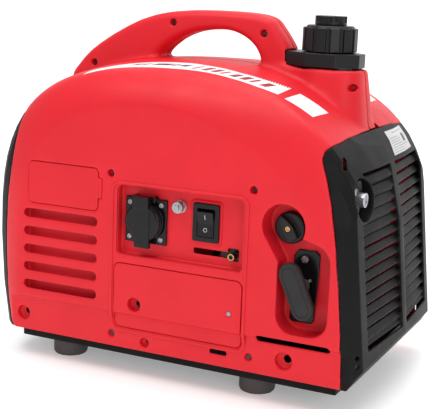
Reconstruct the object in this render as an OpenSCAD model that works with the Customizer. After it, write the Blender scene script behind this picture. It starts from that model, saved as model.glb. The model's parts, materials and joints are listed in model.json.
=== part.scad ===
// Suitcase inverter generator: +X is the exhaust end, -Y is the control side, +Z is up.
// The origin is on the ground, midway along the length and the depth.

/* [Casing] */
// Depth of the casing, front to back
body_d = 294; // [290:1:298]
// Height of the deck at its highest point
deck_h = 344; // [342:1:348]
// Wall thickness of the mouldings
wall = 3; // [2.5:0.5:3]
// Height of the bottom edge of the casing
skirt_z = 35; // [34:1:36]
// Width of the carrying handle
handle_w = 40; // [36:1:44]
// Rise of the deck and the ends between flank and middle
crown = 6; // [3:1:7]

/* [Front panel] */
// Length of a vent slot
vent_l = 96; // [80:1:98]
// Height of a vent slot
vent_h = 10; // [7:1:11]
// Spacing of the vent slots
vent_pitch = 20.7; // [18:0.1:21]
// Number of vent slots
vent_n = 5; // [3:1:5]
// Side of the socket's square flange
flange = 50; // [48:1:52]
// Depth of the control recess
recess_d = 12.2; // [10:0.2:13]

/* [Exhaust end] */
// Number of louvre slats in each column
slat_n = 15; // [10:1:16]
// Radius of the opening round the exhaust outlet
exhaust_r = 22; // [18:1:23]

/* [Engine] */
// Bore of the cylinder
bore_d = 43; // [38:1:44]
// Stroke of the piston
stroke = 34; // [30:1:36]
// Radius at which the starter rope winds
rope_wind_r = 45; // [42:0.5:46]

/* [Running gear] */
// Radius of a foot
foot_r = 20; // [16:1:24]
// Height of a foot
foot_h = 20; // [16:1:20]

/* [Hidden] */
$fn = 48;
e = 0.1;
big = 700;
gap = 0.4;

half_d = body_d / 2;
girth_y = 105;
end_depth = 20;
spring_z = 140;
face_y = -half_d;
skirt_in = 4;
skirt_top = 77;
lean = 6.1;

red = "#d8202f";
black = "#232323";
steel = "#b9bcc0";
alloy = "#a7a9ab";

// Outline of the flat front and back faces, and of the casing at its girth:
// [centre, reach right, reach left, rise, exponent right, exponent left]
face_arch = [-8, 212, 174, deck_h - 36 - spring_z, 1.65, 2.5];
girth_arch = [-2, 231, 226, deck_h - spring_z, 2.3, 3];
arch_steps = 30;
round_steps = 4;
first_turn = 22;

// ---------- casing form ----------
function arch_pt(t, p, grow) =
  let (n = t <= 90 ? p[4] : p[5], reach = t <= 90 ? p[1] + grow : -p[2] - grow)
  [p[0] + reach * pow(abs(cos(t)), 2 / n), spring_z + (p[3] + grow) * pow(abs(sin(t)), 2 / n)];

function ease(k) = let (q = max(0, min(1, k))) q * q * (3 - 2 * q);

// Half-depth at which the flank meets the deck or the end: deeper at the shoulder of the exhaust end
function girth(t) = girth_y + end_depth * ease((78 - t) / 30) * ease((t - 12) / 28);

// One section of the casing: the arch from angle t0 to t1, closed below. A section is given by the share
// of the girth's half-depth, the share of the turn out to the face, the blend and the crown.
function arch_ring(s, sign, inset, t0, t1, steps) =
  let (
    squeeze = (half_d - inset) / half_d,
    p = face_arch + (girth_arch - face_arch) * s[2],
    grow = s[3] - inset,
    left = p[0] - p[2] - grow,
    depth = function(t) s[0] == 0 ? sign * s[4] :
      sign * squeeze * (s[0] * girth(t) + s[1] * (half_d - girth(t))),
    arch = [for (i = [0:steps]) let (t = t0 + (t1 - t0) * i / steps, q = arch_pt(t, p, grow)) [q[0], depth(t), q[1]]],
    d0 = depth(t0),
    d1 = depth(t1),
    right_foot = t0 == 0 ? [[p[0] + p[1] + grow + 14, d0, 0]] : [[-85, d0, 0], [-85, d0, 250]],
    left_foot = t1 == 180 ?
      [[left + 4 * s[2], d1, 85], [left + 15 * s[2], d1, 32], [left + 15 * s[2], d1, 0]] :
      [[40, d1, 250], [40, d1, 0]]
  )
  concat(right_foot, arch, left_foot);

// Sections from the face to the middle: girth share, face share, blend, crown, and the middle's own offset
turns = [for (i = [0:round_steps]) first_turn + (90 - first_turn) * i / round_steps];
half_sections = concat(
  [for (a = turns) [1, cos(a) / cos(first_turn), (sin(a) - sin(first_turn)) / (1 - sin(first_turn)), 0, 0]],
  [[0.52, 0, 1, 0.75 * crown, 0]]
);

// Sections from the front face back to the middle, or on to the rear face
function rings_of(whole, inset, t0, t1, steps) = concat(
  [for (s = half_sections) arch_ring(s, -1, inset, t0, t1, steps)],
  [arch_ring([0, 0, 1, crown, whole ? 0 : gap / 2], -1, inset, t0, t1, steps)],
  whole ? [for (i = [len(half_sections) - 1:-1:0]) arch_ring(half_sections[i], 1, inset, t0, t1, steps)] : []
);

module loft(inset, whole, t0, t1, steps) {
  rings = rings_of(whole, inset, t0, t1, steps);
  n = len(rings[0]);
  m = len(rings);
  polyhedron(
    points = [for (r = rings) each r],
    faces = concat(
      [[for (j = [0:n - 1]) (n - j) % n]],
      [for (i = [0:m - 2], j = [0:n - 1]) [i * n + j, i * n + (j + 1) % n, (i + 1) * n + j]],
      [for (i = [0:m - 2], j = [0:n - 1])
        [i * n + (j + 1) % n, (i + 1) * n + (j + 1) % n, (i + 1) * n + j]],
      [[for (j = [0:n - 1]) (m - 1) * n + j]]
    )
  );
}

// A profile drawn in X and Z, extruded between two Y values
module prism_y(y0, y1) {
  translate([0, y1, 0]) rotate([90, 0, 0]) linear_extrude(y1 - y0) children();
}

// A profile drawn in Y and Z, extruded between two X values
module prism_x(x0, x1) {
  translate([x0, 0, 0]) rotate([90, 0, 90]) linear_extrude(x1 - x0) children();
}

// Side view of the exhaust end: sloping shoulder panel and tucked-in foot
module end_profile(inset) {
  translate([-inset, 0])
    polygon([[-300, 0], [196, 0], [224, 46], [260, 92], [240, 120], [221, 197], [211, 240], [205, 262],
      [100, 360], [-300, 360]]);
}

// Plan view of the exhaust end: shallow vee with a chamfered corner, leaning out downwards
module end_plan(inset) {
  y = half_d - inset;
  half = [[227, 0], [218.5, 0.87 * y], [206, 0.98 * y], [201, y]];
  translate([0, 0, spring_z]) rotate([0, -lean, 0]) translate([-inset, 0, -400]) linear_extrude(900)
    polygon(concat([[-400, -y]], [for (i = [3:-1:1]) [half[i][0], -half[i][1]]], half, [[-400, y]]));
}

// Step that sets the lower skirt back from the face
module skirt_step(inset) {
  prism_x(-400, 400)
    polygon([[-half_d - 20, -5], [-half_d + skirt_in + inset, -5],
      [-half_d + skirt_in + inset, skirt_top - 7 + inset / 2],
      [-half_d + inset - 0.2, skirt_top + inset / 2], [-half_d - 20, skirt_top + inset / 2]]);
}

// Front half of the casing, used for the two red shells
module half_body(inset) {
  difference() {
    intersection() {
      loft(inset, false, 0, 180, inset == 0 ? arch_steps : 22);
      prism_y(-200, 200) end_profile(inset);
      end_plan(inset);
      translate([-350, -200, inset == 0 ? skirt_z : 0]) cube([700, 400, 500]);
    }
    skirt_step(inset);
  }
}

// Exhaust end of the casing
module right_body(inset) {
  difference() {
    intersection() {
      loft(inset, true, 0, 66, 11);
      prism_y(-200, 200) end_profile(inset);
      end_plan(inset);
      translate([-350, -200, inset == 0 ? skirt_z : 0]) cube([700, 400, 500]);
    }
    for (s = [0, 1]) mirror([0, s, 0]) skirt_step(inset);
  }
}

// Intake end of the casing
module left_body(inset) {
  difference() {
    intersection() {
      loft(inset, true, 120, 180, 10);
      translate([-350, -200, inset == 0 ? skirt_z : 0]) cube([700, 400, 500]);
    }
    for (s = [0, 1]) mirror([0, s, 0]) skirt_step(inset);
  }
}

// Where the exhaust end cover begins, seen from the front
module right_zone() {
  polygon([[212.5, 0], [208.5, 90], [203.5, 139], [197.5, 182], [189, 224], [181, 252],
    [175, 268], [176, 276], [181, 282], [181, 500], [400, 500], [400, 0]]);
}

// Where the intake end cover begins, seen from the front
module left_zone() {
  polygon([[-183, 0], [-184, 30], [-195, 41], [-200, 63], [-202.5, 90], [-203.7, 122], [-203, 160], [-201.5, 191],
    [-198, 222], [-195.5, 254], [-194, 272], [-191, 288], [-193, 292], [-193, 500], [-400, 500], [-400, 0]]);
}

// ---------- handle and filler neck ----------
hand_hole = [[-78, 347], [-69, 357.5], [-55, 370], [-33, 379.5], [-11, 383.4], [3, 384.5], [20, 382],
  [38, 373], [48.5, 361.5], [53, 347]];
handle_top = [[-206, 301], [-204, 311], [-179, 343], [-158, 360.5], [-141, 371.5], [-104.5, 390.5], [-85, 396.5],
  [-60, 402], [-13, 405], [15, 405], [42, 404], [55, 402], [64, 398], [73, 387], [83.5, 372.5], [92, 357],
  [112, 335], [112, 280], [-186, 280]];
neck_x = 127.5;
neck_top = 350;

module handle_profile(inset) {
  difference() {
    offset(delta = -inset) polygon(handle_top);
    offset(delta = inset) polygon(hand_hole);
  }
}

module handle_form(inset) {
  prism_y(-handle_w / 2 + inset, inset == 0 ? -gap / 2 : 1) handle_profile(inset);
}

// Plan of the filler neck: flat sides and rounded corners towards the exhaust end
module neck_plan(x1, y1, r) {
  polygon([[52, -18], [x1 - r - 24, -y1], [x1 - r, -y1], [x1 - r, y1], [x1 - r - 24, y1], [52, 18]]);
  translate([x1 - r - 1, -y1 + r]) square([r + 1, 2 * (y1 - r)]);
  for (s = [-1, 1]) translate([x1 - r, s * (y1 - r)]) circle(r = r, $fn = 48);
}

module neck_form(inset) {
  intersection() {
    hull() {
      translate([0, 0, 262]) linear_extrude(0.1) neck_plan(194.5 - inset, 51 - inset, 36 - inset);
      translate([0, 0, neck_top - 0.1]) linear_extrude(inset == 0 ? 0.1 : 1)
        neck_plan(170.7 - inset, 31 - inset, 24 - inset);
    }
    translate([0, -200, 200]) cube([178 - inset, 200 - (inset == 0 ? gap / 2 : -1), 300]);
  }
}

// ---------- openings in the front ----------
vent_x = -126;
vent_z0 = 91;
panel = [-53, 97, 142, 219];
cover = [-56, 99, 58, 133];
store = [-168, -77, 186, 234];
knob_at = [141.5, 193];
tub_floor = -121.5;
tub_back = -118.5;
boss_holes = [[-62, 230.5], [106.5, 231], [-59.5, 49], [107, 51]];
skirt_y = face_y + skirt_in;

module slot_2d(l, h) {
  square([l - h, h], center = true);
  for (s = [-1, 1]) translate([s * (l - h) / 2, 0]) circle(d = h, $fn = 32);
}

// Rectangle with rounded corners, given as [x0, x1, z0, z1]
module round_rect(b, r, grow = 0) {
  q = r + grow;
  union() {
    translate([b[0] - grow + q, b[2] - grow]) square([b[1] - b[0] + 2 * grow - 2 * q, b[3] - b[2] + 2 * grow]);
    translate([b[0] - grow, b[2] - grow + q]) square([b[1] - b[0] + 2 * grow, b[3] - b[2] + 2 * grow - 2 * q]);
    for (x = [b[0] - grow + q, b[1] + grow - q], z = [b[2] - grow + q, b[3] + grow - q])
      translate([x, z]) circle(r = q, $fn = 40);
  }
}

// Outline of the recess that holds the fuel knob and the starter grip
module tub_2d(grow) {
  translate([141, 197]) circle(r = 23.5 + grow, $fn = 64);
  round_rect([137, 193, 85, 183], 20, grow);
  polygon([[121.5 - grow, 184], [137 - grow, 160], [190, 165], [182 + grow, 181 + grow], [163 + grow, 187 + grow],
    [150, 200]]);
}

module vents_2d() {
  for (i = [0:vent_n - 1]) translate([vent_x, vent_z0 + i * vent_pitch]) slot_2d(vent_l, vent_h);
}

module front_cuts() {
  prism_y(face_y - 5, face_y + 12) vents_2d();
  prism_y(face_y - 5, face_y + 12) round_rect(panel, 6);
  prism_y(face_y - 5, face_y + 15) round_rect(cover, 8);
  prism_y(face_y - 5, face_y + 12) round_rect(store, 6);
  prism_y(face_y - 5, face_y + 12) translate([-77, 200]) square([5, 24]);
  prism_y(face_y - 5, tub_floor) tub_2d(0);
  prism_y(face_y - 5, face_y + 12) translate([156.5, 74.6]) slot_2d(82, 6.5);
  prism_y(face_y - 5, face_y + 12) translate([62, 47.5]) square([20, 5.5]);
  for (p = boss_holes) translate([p[0], face_y - 5, p[1]]) rotate([-90, 0, 0]) cylinder(h = 14, r = 4.3);
  for (p = boss_holes) translate([p[0], face_y, p[1]]) rotate([-90, 0, 0]) cylinder(h = 30, r = 2.2, $fn = 24);
  translate([-17.5, face_y - 5, 45]) rotate([-90, 0, 0]) cylinder(h = 14, r = 5);
  translate([147, face_y - 5, 54]) rotate([-90, 0, 0]) cylinder(h = 14, r = 9.5);
  translate([-176.5, face_y - 5, 54]) rotate([-90, 0, 0]) cylinder(h = 24, r = 7.5);
}

// Deflector behind the vents, open along its top and bottom edges
module vent_baffle() {
  translate([-178, face_y + 14, 79]) cube([106, 2, 103]);
  for (x = [-178, -74]) translate([x, face_y + 1, 79]) cube([2, 14, 103]);
}

module front_bosses() {
  vent_baffle();
  for (p = boss_holes) translate([p[0], (p[1] < skirt_top ? skirt_y : face_y) + 1, p[1]]) rotate([-90, 0, 0])
    cylinder(h = 18, r = 7);
  for (p = handle_screws) translate([p[0], -handle_w / 2 + 1, p[1]]) rotate([-90, 0, 0])
    cylinder(h = handle_w / 2 - 1 - gap / 2, r = 6.5);
  prism_y(face_y + 0.5, tub_back) tub_2d(wall - 0.5);
}

handle_screws = [[-162, 337], [-57.5, 389.5], [56, 383]];
neck_screw = [168.5, 331];

module handle_screw_holes(s) {
  for (p = handle_screws) translate([p[0], s * (handle_w / 2 + e), p[1]]) rotate([s * 90, 0, 0]) {
    cylinder(h = 9, r = 4.2);
    cylinder(h = 30, r = 2.2, $fn = 24);
  }
}

// Outline of the plate round the filler neck, seen from above
module collar_plan(grow) {
  offset(delta = grow) polygon([for (s = [1, -1]) each s > 0 ?
    [[166, 11], [145, 30], [111, 30], [84, 19], [75, 10]] :
    [[75, -10], [84, -19], [111, -30], [145, -30], [166, -11]]]);
}

// One shell: the front half of the casing with its half of the handle and of the filler neck
module front_half() {
  // flange along the bottom edge
  difference() {
    intersection() {
      half_body(1);
      translate([-230, -150, skirt_z]) cube([460, 33, 3]);
    }
    prism_y(-200, 200) translate([-gap, 0]) right_zone();
    prism_y(-200, 200) translate([gap, 0]) left_zone();
  }
  difference() {
    union() {
      half_body(0);
      handle_form(0);
      neck_form(0);
    }
    half_body(wall);
    intersection() {
      handle_form(wall);
      translate([-220, -100, 200]) cube([400, 200, 300]);
    }
    neck_form(wall);
    translate([0, 0, neck_top]) linear_extrude(16.4) collar_plan(gap);
    translate([neck_x, 0, neck_top + 16]) cylinder(h = 60, r = 33.4);
    prism_y(-200, 200) translate([-gap, 0]) right_zone();
    prism_y(-200, 200) translate([gap, 0]) left_zone();
  }
}

module front_shell() {
  color(red) difference() {
    union() {
      front_half();
      front_bosses();
      // raised rim round the control recess
      prism_y(face_y - 1.2, face_y + 1) difference() {
        round_rect(panel, 6, 3.5);
        round_rect(panel, 6);
      }
    }
    front_cuts();
    handle_screw_holes(-1);
    translate([neck_screw[0], -80, neck_screw[1]]) rotate([-90, 0, 0]) cylinder(h = 60, r = 4.3);
    translate([163, tub_floor - 5, 138]) rotate([-90, 0, 0]) cylinder(h = 20, r = 5);
    translate([knob_at[0], tub_floor - 5, knob_at[1]]) rotate([-90, 0, 0]) cylinder(h = 20, r = 6);
    translate([158, tub_floor - 5, 161]) rotate([-90, 0, 0]) cylinder(h = 20, r = 2.4, $fn = 24);
  }
}

module rear_shell() {
  color(red) difference() {
    union() {
      mirror([0, 1, 0]) front_half();
      for (p = handle_screws) translate([p[0], handle_w / 2 - 1, p[1]]) rotate([90, 0, 0])
        cylinder(h = handle_w / 2 - 1 - gap / 2, r = 6.5);
    }
    mirror([0, 1, 0]) {
      prism_y(face_y - 5, face_y + 12) vents_2d();
      prism_y(face_y - 5, face_y + 12)
        for (i = [0:vent_n - 1]) translate([60, vent_z0 + i * vent_pitch]) slot_2d(vent_l + 30, vent_h);
    }
    handle_screw_holes(1);
  }
}

// ---------- end covers ----------
slat_z0 = 46;
slat_z1 = 229;
slat_pitch = (slat_z1 - slat_z0) / slat_n;

// Opening of one grille column, between the rib and the corner strip
module grille_window(x0, x1) {
  translate([0, 0, spring_z]) rotate([0, -lean, 0]) translate([x0, 8, slat_z0 - spring_z])
    cube([x1 - x0, 103, slat_z1 - slat_z0]);
}

// Louvre blades of one column, each leaning out at its foot
module slats() {
  translate([0, 0, spring_z]) rotate([0, -lean, 0]) for (i = [1:slat_n - 1]) {
    z = slat_z0 + i * slat_pitch - spring_z;
    translate([225.2 - 0.085 * max(0, z - 34), -1, z]) rotate([0, 0, 3.8]) rotate([0, -30, 0])
      translate([-2.4, 0, 0]) cube([2.4, 115, 0.76 * slat_pitch]);
  }
}

module exhaust_hole(r, x0, x1) {
  translate([x0, -103, 226]) rotate([0, 90, 0]) cylinder(h = x1 - x0, r = r, $fn = 64);
}

module right_end_cover() {
  color(black) difference() {
    intersection() {
      union() {
        difference() {
          right_body(0);
          right_body(wall);
          for (s = [0, 1]) mirror([0, s, 0]) grille_window(190, 245);
        }
        intersection() {
          right_body(0.8);
          for (s = [0, 1]) mirror([0, s, 0]) slats();
        }
        // floor of the cover
        intersection() {
          right_body(0.5);
          translate([200.6, -140, skirt_z]) cube([60, 280, 3]);
        }
        // rim round the exhaust opening
        intersection() {
          right_body(0);
          difference() {
            exhaust_hole(exhaust_r + 3, 200.5, 240);
            exhaust_hole(exhaust_r, 190, 250);
          }
        }
      }
      prism_y(-200, 200) right_zone();
    }
    exhaust_hole(exhaust_r, 190, 250);
    // finger slots beside the shoulder panel and near the foot
    for (p = [[189.3, -115, 265], [190.4, -117.5, 261.5], [191.4, -119.8, 258]]) translate(p)
      rotate([0, 63.7, -45.5]) cylinder(h = 30, r = 3, center = true, $fn = 24);
    for (z = [59.4, 68]) translate([224, -133, z]) rotate([0, 90, -38])
      cylinder(h = 30, r = 2.6, center = true, $fn = 24);
  }
}

module left_end_cover() {
  color(black) difference() {
    intersection() {
      union() {
        difference() {
          left_body(0);
          left_body(wall);
        }
        intersection() {
          left_body(0.5);
          translate([-260, -140, skirt_z]) cube([69.4, 280, 3]);
        }
      }
      prism_y(-200, 200) left_zone();
    }
    for (i = [0:8]) translate([0, 0, 70 + i * 20]) prism_x(-260, -200)
      for (s = [-1, 1]) translate([s * 50, 0]) slot_2d(84, 9);
  }
}

// ---------- base ----------
module base_pan() {
  color(black) difference() {
    union() {
      translate([-190, -124, foot_h]) cube([390, 248, 3]);
      difference() {
        translate([-190, -124, foot_h]) cube([390, 248, skirt_z - foot_h - gap]);
        translate([-186, -120, foot_h]) cube([382, 240, 40]);
      }
      for (x = [-60, 20, 130], y = [-90, 90]) translate([x, y, foot_h]) cylinder(h = 14, r = 8);
      for (x = mount_x, y = [-38, 18]) translate([x, y, foot_h]) cylinder(h = skirt_z - foot_h, r = 10);
    }
    for (x = [-170:20:30]) translate([x, -60, foot_h - 1]) cube([9, 120, 5]);
  }
}

foot_places = [for (x = [-141, 100], y = [-96, 96]) [x, y]];

module feet() {
  color("#2b2b2b") for (p = foot_places) translate([p[0], p[1], 0]) difference() {
    union() {
      cylinder(h = 3, r1 = foot_r - 1.5, r2 = foot_r);
      translate([0, 0, 3]) cylinder(h = foot_h - 3 - e, r = foot_r);
    }
    translate([0, 0, -e]) cylinder(h = 7, r = 7);
  }
}

// ---------- control recess ----------
tray_y = face_y + recess_d;
socket_at = [-22, 181.3];
term_at = [18.5, 201.5];
switch_box = [35.5, 65, 168, 208];
choke_slot = [35, 76, 152.5, 159];
choke_end = [75.5, 88, 150.5, 163.5];

module control_panel() {
  color(red) difference() {
    union() {
      prism_y(face_y + wall + gap, tray_y + 2.5) round_rect(panel, 6, 2.5);
      prism_y(tray_y - 2.2, tray_y + 1) round_rect(switch_box, 1.5, 3.2);
    }
    difference() {
      prism_y(face_y, tray_y) round_rect(panel, 6);
      prism_y(tray_y - 2.2, tray_y + 1) round_rect(switch_box, 1.5, 3.2);
    }
    prism_y(tray_y - 9, tray_y + 9) round_rect(switch_box, 1, 0.2);
    prism_y(tray_y - 9, tray_y + 9)
      translate([choke_slot[0], choke_slot[2]]) square([choke_slot[1] - choke_slot[0], choke_slot[3] - choke_slot[2]]);
    prism_y(tray_y - 9, tray_y + 9)
      translate([choke_end[0], choke_end[2]]) square([choke_end[1] - choke_end[0], choke_end[3] - choke_end[2]]);
    translate([socket_at[0], tray_y - 5, socket_at[1]]) rotate([-90, 0, 0]) cylinder(h = 12, r = 20.5);
    translate([term_at[0], tray_y - 5, term_at[1]]) rotate([-90, 0, 0]) cylinder(h = 12, r = 3.05);
    for (x = [-19, 19], z = [-19, 19]) translate([socket_at[0] + x, tray_y - 5, socket_at[1] + z])
      rotate([-90, 0, 0]) cylinder(h = 12, r = 1.8, $fn = 24);
  }
}

// Profile of a cover plate that follows the step of the skirt
module cover_profile(t) {
  polygon([[face_y, cover[3]], [face_y, skirt_top], [skirt_y, skirt_top - 7], [skirt_y, cover[2]],
    [skirt_y + t, cover[2]], [skirt_y + t, skirt_top - 7 + t / 2], [face_y + t, skirt_top + t / 2],
    [face_y + t, cover[3]]]);
}

cover_screw_at = [84, 95.8];

module service_cover() {
  color(red) difference() {
    intersection() {
      prism_x(cover[0], cover[1]) cover_profile(wall);
      prism_y(face_y - 5, face_y + 15) round_rect(cover, 8, -0.8);
    }
    translate([-29.5, face_y - 5, 87.5]) rotate([-90, 0, 0]) cylinder(h = 14, r = 8);
    translate([cover_screw_at[0], face_y - 5, cover_screw_at[1]]) rotate([-90, 0, 0]) cylinder(h = 14, r = 2.2);
    translate([cover_screw_at[0], face_y - e, cover_screw_at[1]]) rotate([-90, 0, 0]) cylinder(h = 1.6, r = 4);
  }
}

module cover_screw() {
  color(steel) translate([cover_screw_at[0], face_y + 0.4, cover_screw_at[1]]) rotate([-90, 0, 0]) {
    difference() {
      cylinder(h = 1.1, r = 3.6);
      for (a = [0, 90]) rotate([0, 0, a]) translate([-2.4, -0.5, -e]) cube([4.8, 1, 0.7]);
    }
    cylinder(h = 9, r = 1.9);
  }
}

module storage_cover() {
  color(red) difference() {
    union() {
      prism_y(face_y, face_y + wall) round_rect(store, 6, -0.7);
      prism_y(face_y + 0.4, face_y + wall) translate([-78, 201]) square([5, 22]);
    }
    prism_y(face_y + 1.6, face_y + 12) round_rect(store, 6, -4);
  }
}

// ---------- socket ----------
module socket_body() {
  color(black) difference() {
    union() {
      translate([socket_at[0] - flange / 2, tray_y - 3, socket_at[1] - flange / 2]) cube([flange, 3, flange]);
      translate([socket_at[0], tray_y - 6, socket_at[1]]) rotate([-90, 0, 0]) cylinder(h = 40, r = 20.2);
      // hinge ears
      for (s = [-1, 1]) translate([socket_at[0] + s * 12 - 2, tray_y - 9.5, socket_at[1] + 22]) cube([4, 9.5, 6]);
    }
    translate([socket_at[0], tray_y - 7, socket_at[1]]) rotate([-90, 0, 0]) cylinder(h = 24, r = 17.5);
    for (s = [-1, 1]) translate([socket_at[0] + s * 9.5, tray_y, socket_at[1]]) rotate([-90, 0, 0])
      cylinder(h = 60, r = 2.9, $fn = 32);
    for (x = [-19, 19], z = [-19, 19]) translate([socket_at[0] + x, tray_y - 5, socket_at[1] + z])
      rotate([-90, 0, 0]) cylinder(h = 12, r = 1.8, $fn = 24);
    translate([socket_at[0] - 20, tray_y - 6.5, socket_at[1] + 25]) rotate([0, 90, 0]) cylinder(h = 40, r = 1.55, $fn = 32);
  }
}

module socket_contacts() {
  color("#c9a24a") for (s = [-1, 1]) {
    translate([socket_at[0] + s * 9.5, tray_y + 18.5, socket_at[1]]) rotate([-90, 0, 0]) difference() {
      cylinder(h = 28, r = 2.8, $fn = 32);
      translate([0, 0, -e]) cylinder(h = 20, r = 2.4, $fn = 32);
    }
  }
}

module socket_lid() {
  c = socket_at;
  color(black) difference() {
    union() {
      translate([c[0], tray_y - 12, c[1]]) rotate([-90, 0, 0]) cylinder(h = 5, r = 21, $fn = 64);
      translate([c[0], tray_y - 13.4, c[1]]) rotate([-90, 0, 0]) cylinder(h = 1.5, r1 = 18.6, r2 = 21, $fn = 64);
      translate([c[0], tray_y - 9, c[1]]) rotate([-90, 0, 0]) cylinder(h = 2.7, r = 21.8, $fn = 64);
      // raised band down the middle, rounded at its foot
      intersection() {
        translate([c[0], tray_y - 15, c[1]]) rotate([-90, 0, 0]) cylinder(h = 5, r = 20, $fn = 64);
        translate([c[0] - 10.2, tray_y - 16, c[1] - 30]) cube([20.4, 8, 60]);
      }
      // lifting tab
      translate([c[0] - 9, tray_y - 12.5, c[1] - 28.5]) cube([18, 5, 10]);
      // hinge block
      translate([c[0] - 9.6, tray_y - 17, c[1] + 15]) cube([19.2, 10, 13]);
      translate([c[0] - 9.6, tray_y - 6.5, c[1] + 25]) rotate([0, 90, 0]) cylinder(h = 19.2, r = 3, $fn = 32);
    }
    translate([c[0] - 20, tray_y - 6.5, c[1] + 25]) rotate([0, 90, 0]) cylinder(h = 40, r = 1.55, $fn = 32);
    translate([c[0] - 25, tray_y - 8, c[1] - 40]) cube([50, 3, 61.6]);
    translate([c[0], tray_y - 9.3, c[1]]) rotate([-90, 0, 0]) cylinder(h = 3, r = 16);
  }
}

module lid_pin() {
  color(steel) translate([socket_at[0] - 13.8, tray_y - 6.5, socket_at[1] + 25]) rotate([0, 90, 0])
    cylinder(h = 27.6, r = 1.5, $fn = 32);
}

// Round-head screw with a cross recess, its head facing -Y
module pan_screw(r, l) {
  rotate([-90, 0, 0]) {
    difference() {
      translate([0, 0, -1.8]) cylinder(h = 1.8, r1 = r * 0.75, r2 = r, $fn = 32);
      for (a = [20, 110]) rotate([0, 0, a]) translate([-r * 0.6, -0.45, -2]) cube([r * 1.2, 0.9, 1.2]);
    }
    cylinder(h = l, r = r * 0.5, $fn = 24);
  }
}

module panel_screws() {
  color(steel) {
    for (p = [[-19, 19], [19, 19], [19, -19], [-19, -19]])
      translate([socket_at[0] + p[0], tray_y - 3.05, socket_at[1] + p[1]]) pan_screw(3.3, 8);
    translate([158, tub_floor - 2.55, 161]) pan_screw(4.6, 8);
  }
}

module earth_terminal() {
  color(steel) translate([term_at[0], tray_y, term_at[1]]) rotate([-90, 0, 0]) {
    translate([0, 0, -1.2]) cylinder(h = 1.1, r = 7, $fn = 48);
    translate([0, 0, -5.6]) cylinder(h = 4.4, r = 5.8, $fn = 6);
    translate([0, 0, -12]) cylinder(h = 22, r = 3, $fn = 32);
    translate([0, 0, -9.4]) cylinder(h = 3.8, r = 6.2, $fn = 48);
    translate([0, 0, 2.7]) cylinder(h = 3, r = 5.8, $fn = 6);
  }
}

rock_w = 19;
rock_at = [50.25, tray_y - 1, 188];

module switch_bezel() {
  color(black) difference() {
    union() {
      prism_y(tray_y - 4.4, tray_y - 2.3) round_rect(switch_box, 1.5, 0.6);
      prism_y(tray_y - 2.4, tray_y + 18) round_rect(switch_box, 1);
    }
    prism_y(tray_y - 8, tray_y + 14) translate([rock_at[0] - rock_w / 2 - 0.6, 173]) square([rock_w + 1.2, 30]);
    translate([rock_at[0] - 14.2, rock_at[1] + 4, rock_at[2]]) rotate([0, 90, 0]) cylinder(h = 28.4, r = 1.55, $fn = 32);
  }
}

module switch_rocker() {
  color("#2a2a2c") translate(rock_at + [0, 4, 0]) rotate([7, 0, 0]) translate([0, -4, 0]) {
    prism_x(-rock_w / 2, rock_w / 2)
      polygon([[-5.6, 13.6], [-3.4, 0], [-5.6, -13.6], [2, -13.6], [8, 0], [2, 13.6]]);
    translate([-11.9, 4, 0]) rotate([0, 90, 0]) cylinder(h = 23.8, r = 1.5, $fn = 32);
  }
}

module choke_lever() {
  color(black) {
    translate([66, tray_y + 3, 147]) cube([26, 2.2, 20]);
    translate([78.6, tray_y - 3, 153.6]) cube([6.4, 7, 4.4]);
  }
  color("#c98a3a") translate([81.8, tray_y - 6.5, 155.8]) rotate([-90, 0, 0]) difference() {
    cylinder(h = 4.5, r = 4.4, $fn = 32);
    translate([0, 0, -e]) cylinder(h = 2, r = 2.2, $fn = 32);
  }
}

// ---------- fuel valve and starter ----------
module fuel_valve_body() {
  color(alloy) translate([knob_at[0], tub_back + 0.5, knob_at[1]]) rotate([-90, 0, 0]) difference() {
    union() {
      cylinder(h = 12, r = 11);
      translate([-16, -4, 0]) cube([32, 8, 3]);
      translate([0, -10, 6]) rotate([-90, 0, 0]) translate([0, 0, -6]) cylinder(h = 30, r = 3.2, $fn = 32);
    }
    translate([0, 0, -e]) cylinder(h = 9, r = 4.05);
  }
}

module fuel_valve_knob() {
  color(black) translate([knob_at[0], 0, knob_at[1]]) {
    translate([0, tub_floor - 8, 0]) rotate([-90, 0, 0]) difference() {
      union() {
        cylinder(h = 2, r1 = 15.5, r2 = 17, $fn = 64);
        translate([0, 0, 2]) cylinder(h = 5.4, r = 17, $fn = 64);
        translate([0, 0, 7]) cylinder(h = 12, r = 4, $fn = 32);
      }
      translate([0, 0, -8]) cylinder(h = 11, r = 1.8, $fn = 24);
    }
    // pointer grip
    translate([0, tub_floor - 15, 0]) rotate([0, -33, 0]) difference() {
      prism_y(0, 7.5) polygon([[0, 16], [3.5, 9], [6, 0], [5, -13], [-5, -13], [-6, 0], [-3.5, 9]]);
      rotate([-90, 0, 0]) translate([0, 0, -1]) cylinder(h = 4, r = 3.2, $fn = 32);
      rotate([-90, 0, 0]) translate([0, 0, -1]) cylinder(h = 20, r = 1.8, $fn = 24);
    }
  }
}

module knob_screw() {
  color("#c9953f") translate([knob_at[0], tub_floor - 14.6, knob_at[1]]) rotate([-90, 0, 0]) difference() {
    union() {
      cylinder(h = 1.9, r = 2.9, $fn = 32);
      cylinder(h = 9, r = 1.7, $fn = 24);
    }
    translate([0, 0, -e]) cylinder(h = 1.2, r = 1.5, $fn = 24);
  }
}

rope_x = 163;
rope_z = 138;
shaft_y = -10;
shaft_z = rope_z - rope_wind_r;

module starter_plate() {
  color(black) difference() {
    prism_y(tub_floor - 2.5, tub_floor - e)
      polygon([[151, 171], [170, 171], [174, 167], [174, 145], [171, 96], [168, 93], [147, 93],
        [144, 96], [146, 164]]);
    translate([rope_x, tub_floor - 5, rope_z]) rotate([-90, 0, 0]) cylinder(h = 10, r = 4);
    translate([158, tub_floor - 5, 161]) rotate([-90, 0, 0]) cylinder(h = 10, r = 2.4);
  }
}

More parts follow.
